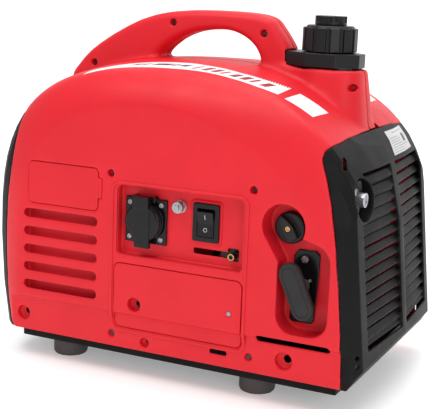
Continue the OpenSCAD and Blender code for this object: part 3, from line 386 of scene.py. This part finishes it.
def piece(obj, name, *nodes, body=None, slot=None):
    """Names a finished piece, brings it to metres, and says which CAD nodes it stands for."""
    obj.name = name
    obj.data.transform(Matrix.Scale(MM, 4))
    slot = slot or SLOT_OF[nodes[0]]
    obj.data.materials.clear()
    obj.data.materials.append(MATS[OWN_FINISH.get(nodes[0] if nodes else name, slot)])
    for p in obj.data.polygons:
        p.use_smooth = True
        p.material_index = 0
    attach(obj, body or BODY_OF[nodes[0]])
    if nodes:
        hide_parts(*nodes)
    return obj


# ---------- the casing's form, by the same curves as part.scad ----------
HALF_D, GIRTH_Y, END_DEPTH, SPRING_Z, DECK_H = 147.0, 105.0, 20.0, 140.0, 344.0
SKIRT_Z, CROWN, WALL, GAP = 35.0, 6.0, 3.0, 0.4
STEP_FOOT, STEP_TOP, STEP_IN = 73.4, 77, 4  # the skirt stands back by STEP_IN below the step
FACE_Y, FIRST_TURN, END_LEAN = -HALF_D, 22.0, math.radians(6.1)
FAR = 200  # past the casing's sides
FACE_ARCH = np.array([-8, 212, 174, DECK_H - 36 - SPRING_Z, 1.65, 2.5])
GIRTH_ARCH = np.array([-2, 231, 226, DECK_H - SPRING_Z, 2.3, 3])
END_PROFILE = [(-300, 0), (196, 0), (224, 46), (260, 92), (240, 120), (221, 197), (211, 240), (205, 262),
               (100, 360), (-300, 360)]
RIGHT_ZONE = [(212.5, 0), (208.5, 90), (203.5, 139), (197.5, 182), (189, 224), (181, 252), (175, 268),
              (176, 276), (181, 282), (181, 500), (400, 500), (400, 0)]
LEFT_ZONE = [(-183, 0), (-184, 30), (-195, 41), (-200, 63), (-202.5, 90), (-203.7, 122), (-203, 160),
             (-201.5, 191), (-198, 222), (-195.5, 254), (-194, 272), (-191, 288), (-193, 292), (-193, 500),
             (-400, 500), (-400, 0)]


def ease(k):
    k = min(1.0, max(0.0, k))
    return k * k * (3 - 2 * k)


def girth(t):
    """Half-depth at which the flank meets the deck or the end: deeper at the shoulder of the exhaust end."""
    return GIRTH_Y + END_DEPTH * ease((78 - t) / 30) * ease((t - 12) / 28)


def arch_ring(side, section, inset, steps):
    """One section of the casing. It is given by its share of the girth's half-depth, its share of the turn
    out to the face, its blend and its crown."""
    near, far, blend, crown = section
    c, r, l, rise, nr, nl = FACE_ARCH + (GIRTH_ARCH - FACE_ARCH) * blend
    squeeze, grow = side * (HALF_D - inset) / HALF_D, crown - inset
    left = c - l - grow

    def depth(t):
        return squeeze * (near * girth(t) + far * (HALF_D - girth(t)))

    ring = [(c + r + grow + 14, depth(0), 0)]
    for i in range(steps + 1):
        t = 180 * i / steps
        across, rise_t = abs(math.cos(math.radians(t))), abs(math.sin(math.radians(t)))
        n, reach = (nr, r + grow) if t <= 90 else (nl, -l - grow)
        ring.append((c + reach * across ** (2 / n), depth(t), SPRING_Z + (rise + grow) * rise_t ** (2 / n)))
    return ring + [(left + 4 * blend, depth(180), 85), (left + 15 * blend, depth(180), 32),
                   (left + 15 * blend, depth(180), 0)]


def loft(inset, steps=120, turns=18):
    """The casing's body, or the space inside it at the given inset."""
    s0 = math.sin(math.radians(FIRST_TURN))
    half = []
    for i in range(turns + 1):
        a = math.radians(FIRST_TURN + (90 - FIRST_TURN) * i / turns)
        out = math.cos(a) / math.cos(math.radians(FIRST_TURN))
        half.append((1.0, out, (math.sin(a) - s0) / (1 - s0), 0.0))
    half += [(k, 0.0, 1.0, CROWN * (1 - k * k)) for k in (0.88, 0.75, 0.61, 0.48, 0.34, 0.19, 0.06)]
    sections = [(-1, s) for s in half] + [(1, s) for s in reversed(half)]
    return stack([arch_ring(side, s, inset, steps) for side, s in sections])


def skirt_step(inset, side):
    """What the step takes off the body, all along one side."""
    y = HALF_D * side
    back, foot, top = y - side * (STEP_IN + inset), STEP_FOOT + inset / 2, STEP_TOP + inset / 2
    return prism("x", [(y + side * 20, -5), (back, -5), (back, foot), (y - side * (inset - 0.2), top),
                       (y + side * 20, top)], -400, 400)


# ---------- carrying handle and filler neck ----------
HAND_HOLE = [(-79, 338), (-78, 347), (-74, 354), (-67, 361), (-55, 370), (-44, 375.5), (-33, 379.5),
             (-22, 382), (-11, 383.4), (3, 384.3), (12, 383.8), (20, 382), (30, 378), (38, 373), (44.5, 367),
             (49, 360), (52, 352), (53, 338)][::-1]
HANDLE_TOP = [(-206, 301), (-204, 311), (-191, 329), (-179, 343), (-169, 352.5), (-158, 360.5), (-141, 371.5),
              (-122, 382), (-104.5, 390.5), (-85, 397), (-72, 400), (-60, 402), (-36, 404.4), (-13, 405.2),
              (15, 405.2), (30, 404.8), (42, 404), (50, 403), (57, 401.3), (64, 398), (73, 387),
              (78.5, 379.8), (83.5, 372.5), (92, 357), (112, 335), (112, 280), (-186, 280)][::-1]
HANDLE_R, HANDLE_D = 9.0, 20
NECK_X, NECK_SPACE_X, NECK_TOP = 52, 101, 349.6


def handle():
    """The handle with its hand hole, their edges rounded."""
    def rounded(outline, sign):
        levels = []
        for a in range(0, 91, 15):
            across, up = 1 - math.cos(math.radians(a)), 1 - math.sin(math.radians(a))
            levels.append((-HANDLE_D + HANDLE_R * across, HANDLE_R * up))
        levels += [(-y, inset) for y, inset in reversed(levels)]
        return stack([[(x, y, z) for x, z in grown(outline, sign * inset)] for y, inset in levels])

    past = [prism("y", grown(HAND_HOLE, HANDLE_R), s * (HANDLE_D - 0.1), s * 2 * HANDLE_D) for s in (-1, 1)]
    return combine(rounded(HANDLE_TOP, -1), "DIFFERENCE", rounded(HAND_HOLE, 1), *past)


def neck(inset, top):
    """The filler neck's solid, or the space inside it, which begins clear of the handle."""
    start = NECK_X if inset == 0 else NECK_SPACE_X

    def ring(z, x1, y1, r):
        flat = x1 - r - 24
        y0 = 18 + (y1 - 18) * (start - NECK_X) / (flat - NECK_X)
        half = arc(x1 - r, y1 - r, r, 0, 90, 10) + [(flat, y1), (start, y0)]
        return [(x, -y, z) for x, y in reversed(half)] + [(x, y, z) for x, y in half]

    return stack([ring(262, 181 - inset, 50 - inset, 36 - inset),
                  ring(top, 169.5 - inset, 31 - inset, 24 - inset)])


def neck_space():
    """The space in the neck, with a solid corner left for the neck's screw and a solid foot."""
    corners, foot = block(157, 187, -60, 60, 320, 340), block(169, 187, -60, 60, 250, 300)
    return combine(neck(WALL + 1.5, 352), "DIFFERENCE", corners, foot)


def casing_form():
    """The red mouldings' outside as one soft form: body, handle and filler neck."""
    body = combine(loft(0.0), "INTERSECT", prism("y", END_PROFILE, -FAR, FAR))
    whole = join(body, handle(), neck(0.0, NECK_TOP))
    return skin(whole, voxel=2.4, rounds=12)


# ---------- the two shells ----------
BOSSES, BOSS_R, SCREW_HOLE_R = [(-62, 230.5), (106.5, 231), (-59.5, 49), (107, 51)], 7, 4.3
HANDLE_SCREWS, HANDLE_HOLE_R = [(-162, 337), (-57.5, 389.5), (56, 383)], 4.2
NECK_SCREW, ROPE_X, ROPE_Z = (164.5, 331), 163, 138
COLLAR = [(166, 11), (145, 30), (111, 30), (84, 19), (75, 10), (75, -10), (84, -19), (111, -30), (145, -30),
          (166, -11)]
RECESS, SERVICE, STORE = (-53, 97, 142, 219), (-56, 99, 58, 133), (-168, -77, 186, 234)
CUPS = [(-17.5, 45, 5.4, 11), (147, 54, 9.5, 12), (-176.5, 54, 8.2, 12)]
TUB_FLOOR_Y = -121.5
COARSE = (60, 8)  # steps and turns of the lofts that only shape the inside


def vents(x, length):
    """Outlines of a column of five vents."""
    return [slot_shape(x, 91 + 20.7 * i, length, 10) for i in range(5)]


def tub_shapes(g):
    """Outlines of the recess for the fuel knob and the starter grip, grown by g."""
    return [circle(141, 197, 23.5 + g, 64), round_rect(137, 193, 85, 183, 20, g, 12),
            [(121.5 - g, 184), (137 - g, 160), (190, 165), (182 + g, 181 + g), (163 + g, 187 + g),
             (150, 200)]]


def exhaust_end():
    """The exhaust end cover's room: its zone, less the neck's foot where that stands clear of the body."""
    def zone():
        return prism("y", [(x - GAP, z) for x, z in RIGHT_ZONE], -FAR, FAR)

    body = combine(loft(-GAP, *COARSE), "INTERSECT",
                   prism("y", [(x + GAP, z + GAP) for x, z in END_PROFILE], -FAR, FAR))
    beyond_neck = block(180.6, 420, -210, 210, -10, 510)
    return combine(zone(), "INTERSECT", body), combine(zone(), "INTERSECT", beyond_neck)


def half_shell(form, side):
    """One red shell, open inside, before its own openings are cut. side is -1 at the front."""
    shell = copy_of(form)
    combine(shell, "INTERSECT", block(-350, 350, *sorted((side * 0.2, side * FAR)), SKIRT_Z, 500))
    # the space inside leaves a wall all round and a flange along the bottom edge
    flange = block(-300, 300, *sorted((side * 117, side * FAR)), -5, SKIRT_Z + WALL)
    inner = combine(loft(WALL, *COARSE), "DIFFERENCE", skirt_step(WALL, -1), skirt_step(WALL, 1), flange)
    combine(shell, "DIFFERENCE", skirt_step(0.0, side), inner, neck_space(),
            prism("z", grown(COLLAR, GAP), 350, 366.4),
            *exhaust_end(),
            prism("y", [(x + GAP, z) for x, z in LEFT_ZONE], -FAR, FAR))
    return shell


def ledge(box, r, y, low, high):
    """The ledge behind an opening, on which its cover rests, between two heights."""
    outer = combine(prism("y", round_rect(*box, r, 3), y - 0.8, y + 2.4), "DIFFERENCE",
                    prism("y", round_rect(*box, r, -0.3), y - 5, y + 0.3),
                    prism("y", round_rect(*box, r, -4), y, y + 5))
    return combine(outer, "INTERSECT", block(-250, 250, -FAR, 0, low, high))


def front_shell(form):
    y = FACE_Y
    shell = half_shell(form, -1)
    # walls of the tub, box behind the vents, screw bosses and cups
    adds = [prism("y", s, y + 0.5, TUB_FLOOR_Y + WALL) for s in tub_shapes(2.5)]
    adds += [block(-178, -72, y + 14, y + 16, 79, 182), block(-178, -176, y + 1, y + 15, 79, 182),
             block(-74, -72, y + 1, y + 15, 79, 182)]
    adds += [prism("y", circle(x, z, BOSS_R), y + (STEP_IN if z < STEP_TOP else 0) + 1, y + 20)
             for x, z in BOSSES]
    adds += [prism("y", circle(x, z, r + 1.5), y + 5, y + depth + 2) for x, z, r, depth in CUPS]
    combine(shell, "UNION", *adds)
    # vents, recess, storage cover with its thumb notch, and the slots low on the skirt
    cuts = vents(-126, 96)
    cuts += [round_rect(*RECESS, 6), round_rect(*STORE, 6),
             [(-77.5, 200), (-72, 200), (-72, 224), (-77.5, 224)],
             slot_shape(156.5, 74.6, 82, 6.5), [(62, 47.5), (82, 47.5), (82, 53), (62, 53)]]
    tools = [prism("y", c, y - 5, y + 12) for c in cuts]
    tools += [prism("y", round_rect(*SERVICE, 8), y - 5, y + 15)]
    tools += [prism("y", s, y - 5, TUB_FLOOR_Y) for s in tub_shapes(0)]
    tools += [prism("y", circle(x, z, SCREW_HOLE_R), y - 5, y + 9) for x, z in BOSSES]
    tools += [prism("y", circle(x, z, r), y - 5, y + depth) for x, z, r, depth in CUPS]
    tools += [prism("y", circle(x + 0.2 * r, z + 0.1 * r, 0.42 * r, 24), y, y + 20) for x, z, r, _ in CUPS]
    tools += [prism("y", circle(ROPE_X, ROPE_Z, 5, 24), -130, -110),
              prism("y", circle(*NECK_SCREW, SCREW_HOLE_R), -80, -12)]
    tools += [prism("y", circle(x, z, HANDLE_HOLE_R, 32), -21, -11) for x, z in HANDLE_SCREWS]
    combine(shell, "DIFFERENCE", *tools)
    combine(shell, "UNION",
            ledge(SERVICE, 8, y + WALL, 74, 140), ledge(SERVICE, 8, y + WALL + STEP_IN, 50, 76),
            ledge(STORE, 6, y + WALL, 100, 300), block(-79, -69.5, y + WALL + 0.3, y + WALL + 2.4, 196, 228))
    return skin(shell, voxel=1.25, rounds=3)


def rear_shell(form):
    shell = half_shell(form, 1)
    y = HALF_D
    tools = [prism("y", outline, y - 12, y + 5) for outline in vents(-126, 96) + vents(60, 126)]
    tools += [prism("y", circle(x, z, SCREW_HOLE_R), y - 9, y + 5) for x, z in BOSSES]
    tools += [prism("y", circle(x, z, HANDLE_HOLE_R, 32), 11, 21) for x, z in HANDLE_SCREWS]
    combine(shell, "UNION", *[prism("y", circle(x, z, BOSS_R), y - 20, y - 5) for x, z in BOSSES])
    combine(shell, "DIFFERENCE", *tools)
    return skin(shell, voxel=1.45, rounds=3)


def rim_bead():
    """The moulded bead round the control recess and the service cover, following the step of the skirt."""
    x0, x1, z0, z1, r = -58.6, 101.6, 55.2, 221.8, 9.5
    half_w, height, sunk_in, m = 1.9, 1.8, 0.3, 9
    path = [p for cx, cz, turn in ((x1 - r, z1 - r, 0), (x0 + r, z1 - r, 90), (x0 + r, z0 + r, 180),
                                   (x1 - r, z0 + r, 270)) for p in arc(cx, cz, r, turn, turn + 90, 10)]
    # the long sides are divided, so that the bead can follow the step
    path = [(a[0] + (b[0] - a[0]) * k / 12, a[1] + (b[1] - a[1]) * k / 12)
            for a, b in zip(path, path[1:] + path[:1]) for k in (range(12) if math.dist(a, b) > 10 else [0])]
    verts, n = [], len(path)
    for i, (x, z) in enumerate(path):
        (ax, az), (bx, bz) = path[i - 1], path[(i + 1) % n]
        tx, tz = Vector((bx - ax, bz - az)).normalized()
        for j in range(m):
            a = math.pi * j / (m - 1)
            across = half_w * math.cos(a)
            px, pz = x + tz * across, z - tx * across
            back = STEP_IN * min(1.0, max(0.0, (STEP_TOP - pz) / (STEP_TOP - STEP_FOOT)))
            verts.append((px, FACE_Y + back + sunk_in - (height + sunk_in) * math.sin(a), pz))
    return hoop(verts, n, m)


form = casing_form()
shells = [piece(front_shell(form), "front_shell_moulding", "front_shell"),
          piece(rear_shell(form), "rear_shell_moulding", "rear_shell")]
bpy.data.objects.remove(form)
piece(rim_bead(), "control_rim_bead", body="casing", slot="red_shell")


# ---------- smaller mouldings: the CAD solids with moulded edges ----------
def cover_detail(obj):
    """The service cover's sharper step, and the cup behind its finger hole."""
    x, y, z = -29.5, FACE_Y, 87.5
    cup = combine(prism("y", circle(x, z, 9.4), y + 1, y + 11.5), "DIFFERENCE",
                  prism("y", circle(x, z, 8), y, y + 9.7),
                  prism("y", circle(x + 2.6, z - 0.6, 4.6, 24), y, y + 14))
    combine(obj, "DIFFERENCE", skirt_step(0.0, -1))
    combine(obj, "UNION", cup)


def screw_detail(obj):
    """A small head that leaves a dark ring of its counterbore free."""
    tip = Vector((84, FACE_Y + 10.4, 95.8))
    shrink = Matrix.Diagonal((0.72, 0.94, 0.72, 1.0))
    obj.data.transform(Matrix.Translation(tip) @ shrink @ Matrix.Translation(-tip))


def louvre_detail(obj):
    """The lowest louvre blade of each grille column."""
    tilt = Matrix.Rotation(math.radians(3.8), 4, "Z") @ Matrix.Rotation(math.radians(-30), 4, "Y")
    place = Matrix.Translation((0, 0, SPRING_Z)) @ Matrix.Rotation(-END_LEAN, 4, "Y")
    place = place @ Matrix.Translation((225.2, -1, 51 - SPRING_Z)) @ tilt
    for side in (-1, 1):
        blade = block(-2.4, 0, 0, 115, 0, 9.3)
        blade.data.transform(Matrix.Diagonal((1, side, 1, 1)) @ place)
        if side < 0:
            blade.data.flip_normals()
        combine(blade, "INTERSECT", prism("y", [(x - 1.2, z) for x, z in END_PROFILE], -FAR, FAR))
        combine(obj, "UNION", blade)


def grip_detail(obj):
    """A groove round the grip's face."""
    cx, cz, half, lean = 158.5, 131.5, 19, math.radians(24)

    def outline(r):
        shape = arc(0, half, r, 0, 180, 20) + arc(0, -half, r, 180, 360, 20)
        c, s = math.cos(lean), math.sin(lean)
        return [(cx + x * c - z * s, cz + x * s + z * c) for x, z in shape]

    groove = combine(prism("y", outline(8.3), -151, -149.2), "DIFFERENCE",
                     prism("y", outline(6.9), -152, -148))
    combine(obj, "DIFFERENCE", groove)


DETAILS = {"service_cover": cover_detail, "cover_screw": screw_detail, "right_end_cover": louvre_detail,
           "starter_grip": grip_detail}


def moulded(node, voxel, rounds):
    """A CAD node's own solid, remeshed finely and smoothed, so that its edges have small radii."""
    obj = link(bpy.data.objects.new(node + "_copy", frame["nodes"][node].data.copy()))
    obj.data.transform(Matrix.Scale(1 / MM, 4))
    if node in DETAILS:
        repair(obj.data, gap=0.003)
        DETAILS[node](obj)
    return piece(skin(obj, voxel, rounds), node + "_moulding", node)


# the size of the remesh in millimetres, and the rounds of smoothing
MOULDED = {
    "right_end_cover": (1.0, 2), "left_end_cover": (1.5, 3), "base_pan": (1.5, 2), "feet": (1.1, 3),
    "control_panel": (0.8, 2), "service_cover": (0.9, 2), "storage_cover": (0.7, 2), "socket_body": (0.6, 2),
    "socket_lid": (0.42, 3), "switch_bezel": (0.42, 3), "switch_rocker": (0.36, 3), "choke_lever": (0.4, 3),
    "fuel_valve_knob": (0.45, 3), "starter_plate": (0.6, 2), "starter_grip": (0.42, 2),
    "filler_collar": (0.7, 8), "fuel_cap": (0.55, 3), "vent_knob": (0.45, 3), "earth_terminal": (0.3, 2),
    "panel_screws": (0.26, 2), "cover_screw": (0.26, 2), "shell_screws": (0.4, 2), "knob_screw": (0.26, 2),
    "exhaust_outlet": (0.45, 3),
}
mouldings = {node: moulded(node, voxel, rounds) for node, (voxel, rounds) in MOULDED.items()}


# ---------- small fittings ----------
def choke_ring():
    """Brass ring round the choke's pull knob, turned about the knob's axis."""
    x, z, knob_front = 81.8, 155.8, FACE_Y + 12.2 - 6.5
    profile = [(3.1 + 0.9 * math.cos(math.radians(a)), 0.25 - 0.5 * math.sin(math.radians(a)))
               for a in range(0, 360, 30)]
    n = 40
    verts = []
    for i in range(n):
        a = 2 * math.pi * i / n
        verts += [(x + r * math.cos(a), knob_front + d, z + r * math.sin(a)) for r, d in profile]
    return hoop(verts, n, len(profile))


def spark_screen():
    """Perforated plate across the exhaust outlet."""
    x, y, z, r = 210.8, -103, 226, 6.1
    places = [(a * 1.9 + (b % 2) * 0.95, b * 1.65) for a in range(-3, 4) for b in range(-3, 4)]
    holes = [prism("x", circle(y + dy, z + dz, 0.6, 10), x - 1, x + 2)
             for dy, dz in places if math.hypot(dy, dz) < 5.2]
    return combine(prism("x", circle(y, z, r), x, x + 0.6), "DIFFERENCE", *holes)


piece(choke_ring(), "choke_knob_ring", body="choke", slot="brass")
piece(spark_screen(), "spark_screen", body="casing", slot="chrome_tube")


# ---------- starter rope ----------
def twisted_rope(x, z, y0, y1):
    """Three strands laid together, along Y from y0 to y1."""
    radius, strands, lay, sides, step = 1.9, 3, 9.0, 24, 0.8
    count = int(abs(y1 - y0) / step)
    rings = []
    for i in range(count + 1):
        y = y0 + (y1 - y0) * i / count
        turn = 2 * math.pi * (y - y0) / lay
        ring = []
        for j in range(sides):
            a = 2 * math.pi * j / sides
            r = radius * (0.91 + 0.09 * math.cos(strands * (a + turn)))
            ring.append((x + r * math.cos(a), y, z + r * math.sin(a)))
        rings.append(ring)
    return stack(rings)


rope = twisted_rope(ROPE_X, ROPE_Z, -16, -131.9)
rope.name = "starter_rope_twist"
rope.data.transform(Matrix.Scale(MM, 4))
rope.data.materials.append(MATS["rope"])
for p in rope.data.polygons:
    p.use_smooth = True
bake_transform(rope)
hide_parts("starter_rope")


# ---------- labels and marks: thin sheets laid on the mouldings ----------
def surface(obj):
    bm = bmesh.new()
    bm.from_mesh(obj.data)
    tree = BVHTree.FromBMesh(bm)
    bm.free()
    return tree


def laid_on(tree, rows, direction, lift):
    """A thin closed sheet on a surface: rows of points in millimetres, each cast along the direction."""
    d, sunk = Vector(direction), 0.2
    hits = []
    for p in (p for row in rows for p in row):
        place, normal = tree.ray_cast(Vector(p) * MM, d)[:2]
        hits.append((place / MM, -normal if normal.dot(d) > 0 else normal))
    m, n = len(rows), len(rows[0])
    top = [place + normal * lift for place, normal in hits]
    low = [place - normal * sunk for place, normal in hits]
    faces = []
    for i in range(m - 1):
        for j in range(n - 1):
            a = i * n + j
            faces.append([a, a + 1, a + n + 1, a + n])
            faces.append([m * n + k for k in (a, a + n, a + n + 1, a + 1)])
    edge = list(range(n)) + [i * n + n - 1 for i in range(1, m)]
    edge += [(m - 1) * n + j for j in range(n - 2, -1, -1)] + [i * n for i in range(m - 2, 0, -1)]
    for a, b in zip(edge, edge[1:] + edge[:1]):
        faces.append([b, a, m * n + a, m * n + b])
    return solid(top + low, faces)


def patch(tree, place, corners, cells, direction, lift):
    """A sheet over a quadrilateral of a label's own two coordinates."""
    (a, b), (c, d), (e, f), (g, h) = corners
    m, n = cells
    rows = []
    for i in range(m + 1):
        t = i / m
        rows.append([place((a + (c - a) * u) * (1 - t) + (g + (e - g) * u) * t,
                           (b + (d - b) * u) * (1 - t) + (h + (f - h) * u) * t)
                     for u in (j / n for j in range(n + 1))])
    return laid_on(tree, rows, direction, lift)


BAND_LOW = [(-116, -119), (-100, -116.5), (-82, -112), (-60, -107.5), (-35, -104), (0, -103.5), (30, -106),
            (60, -109.5), (90, -110.5), (112, -107)]
BAND_HIGH = [(-113, -116), (-92, -92), (-75, -80), (-55, -70), (-30, -63.5), (-10, -63), (22, -70), (58, -78),
             (85, -76), (112, -69)]
BLOCK = [(120.4, -108.9), (151.7, -107.3), (155.2, -69.2), (122.8, -70.8)]
WHOLE = [(0, 0), (1, 0), (1, 1), (0, 1)]
FILM, INK = 0.14, 0.2  # how far a label and the marks printed on it stand off
ABOVE, BESIDE = 440, 300  # where the rays that lay the labels start


def along_band(side):
    """Takes a share of the band's length and of its width to a point above the deck."""
    def place(u, v):
        points = []
        for line in (BAND_LOW, BAND_HIGH):
            xs, ys = zip(*line)
            x = xs[0] + (xs[-1] - xs[0]) * u
            points.append((x, float(np.interp(x, xs, ys))))
        (x0, y0), (x1, y1) = points
        return x0 + (x1 - x0) * v, -side * (y0 + (y1 - y0) * v), ABOVE
    return place


def slanted(u, width, low, high, lean=0.02):
    return [(u, low), (u + width, low), (u + width + lean, high), (u + lean, high)]


def deck_labels(shell, side):
    """The deck's white film, and the marks printed on it."""
    tree, down, place = surface(shell), (0, 0, -1), along_band(side)
    white = [patch(tree, place, WHOLE, (14, 150), down, FILM)]
    flip = [(x, -side * y) for x, y in BLOCK]
    white.append(patch(tree, lambda x, y: (x, y, ABOVE), flip, (14, 14), down, FILM))
    marks = [slanted(0.53 + 0.052 * i, 0.017 + 0.016 * (i % 3 > 0), 0.22, 0.72) for i in range(8)]
    ticks = [slanted(0.53 + 0.0125 * i, 0.006, 0.9, 1.0, 0.0) for i in range(37)]
    words = [slanted(u, w, 0.4, 0.66)
             for u, w in ((0.2, 0.035), (0.25, 0.022), (0.3, 0.085), (0.4, 0.02), (0.44, 0.045))]
    red = [patch(tree, place, c, (6, 6), down, INK) for c in marks]
    red += [patch(tree, place, c, (2, 2), down, INK) for c in ticks]
    dark = [patch(tree, place, c, (4, 10), down, INK) for c in words]
    return white, red, dark


def shoulder_label(cover):
    """Generic rating plate: grey lines for its rows and a dark block for its mark."""
    tree, inwards = surface(cover), (-1, 0, 0)

    def place(u, v):
        y = (16.0 + 17.0 * v) * (1 - u) + (99.0 + 5.0 * v) * u
        return BESIDE, y, 256.5 + 23.0 * v

    white = [patch(tree, place, WHOLE, (10, 20), inwards, FILM)]
    rows = [(0.07, 0.62, 0.08), (0.07, 0.62, 0.17), (0.07, 0.9, 0.27), (0.07, 0.62, 0.37), (0.07, 0.55, 0.47),
            (0.07, 0.6, 0.57), (0.07, 0.5, 0.67), (0.3, 0.88, 0.86)]
    grey = [patch(tree, place, [(a, v), (b, v), (b, v + 0.035), (a, v + 0.035)], (1, 16), inwards, INK)
            for a, b, v in rows]
    mark = [(0.72, 0.38), (0.86, 0.38), (0.86, 0.72), (0.72, 0.72)]
    dark = [patch(tree, place, mark, (6, 4), inwards, INK)]
    return white, grey, dark


def label_piece(parts, name, slot):
    return piece(join(*parts), name, body="casing", slot=slot)


for side, shell in ((-1, shells[0]), (1, shells[1])):
    where = "front" if side < 0 else "rear"
    for parts, slot in zip(deck_labels(shell, side), ("label_white", "label_red", "label_dark")):
        label_piece(parts, f"{where}_deck_{slot}", slot)
for parts, slot in zip(shoulder_label(mouldings["right_end_cover"]),
                       ("label_plate", "label_grey", "label_dark")):
    label_piece(parts, f"rating_{slot}", slot)


def rocker_marks(rocker):
    """The on bar and the off ring of the switch."""
    tree, back, lift = surface(rocker), (0, 1, 0), 0.12
    x0, z_on, z_off, r, half_w, half_h = 50.25, 194.5, 180.5, 2.3, 0.45, 2.6

    def in_front(x, z):
        return x, -FAR, z

    corners = [(x0 - half_w, z_on - half_h), (x0 + half_w, z_on - half_h), (x0 + half_w, z_on + half_h),
               (x0 - half_w, z_on + half_h)]
    bar = patch(tree, in_front, corners, (4, 2), back, lift)
    rows = [[in_front(x0 + q * math.cos(math.radians(a)), z_off + q * math.sin(math.radians(a)))
             for q in (r - 0.7, r)] for a in range(0, 356, 12)]
    ring = laid_on(tree, rows, back, lift)
    return piece(join(bar, ring), "rocker_marks", body="rocker", slot="mark_grey")


rocker_marks(mouldings["switch_rocker"])


# ---------- floor, light and background ----------
def stage():
    """Pale floor that bends up into a wall behind the part."""
    size, bend, radius, wall = 6.0, 1.0, 1.2, 2.6
    rows = [(-size, 0.0), (bend, 0.0)]
    rows += [(bend + radius * math.sin(t), radius * (1 - math.cos(t)))
             for t in np.linspace(0, math.pi / 2, 14)[1:]]
    rows += [(bend + radius, wall)]
    verts = [(x, y, z) for y, z in rows for x in (-size, size)]
    faces = [[2 * i, 2 * i + 1, 2 * i + 3, 2 * i + 2] for i in range(len(rows) - 1)]
    mesh = bpy.data.meshes.new("floor")
    mesh.from_pydata(verts, [], faces)
    floor = link(bpy.data.objects.new("floor", mesh))
    m = Nodes("pale_floor")
    m.set(Base_Color=m.mix(m.ramp(m.noise(3.0), 0.0, 1.0, 0.3, 0.7), (0.95, 0.95, 0.95), (0.93, 0.93, 0.93)),
          Roughness=0.6, Emission_Color=(1, 1, 1), Emission_Strength=0.28)
    mesh.materials.append(m.mat)
    for p in mesh.polygons:
        p.use_smooth = True


def area_light(name, place, target, size, power):
    data = bpy.data.lights.new(name, "AREA")
    data.shape, data.size, data.size_y, data.energy = "RECTANGLE", size[0], size[1], power
    lamp = link(bpy.data.objects.new(name, data))
    lamp.location = place
    lamp.rotation_euler = (Vector(target) - Vector(place)).to_track_quat("-Z", "Y").to_euler()


stage()
area_light("key", (-0.45, -1.0, 1.75), (0, 0, 0.22), (0.9, 0.7), 14.5)
area_light("top", (0.2, 0.25, 2.2), (0, 0, 0.2), (2.0, 1.6), 31)
area_light("right_fill", (1.5, -1.5, 0.75), (0.1, 0, 0.2), (0.9, 0.9), 9)
world = bpy.data.worlds.new("studio")
world.use_nodes = True
background = world.node_tree.nodes["Background"]
background.inputs["Color"].default_value = (1, 1, 1, 1)
background.inputs["Strength"].default_value = 0.45
bpy.context.scene.world = world
bpy.context.scene.view_settings.view_transform = "Standard"
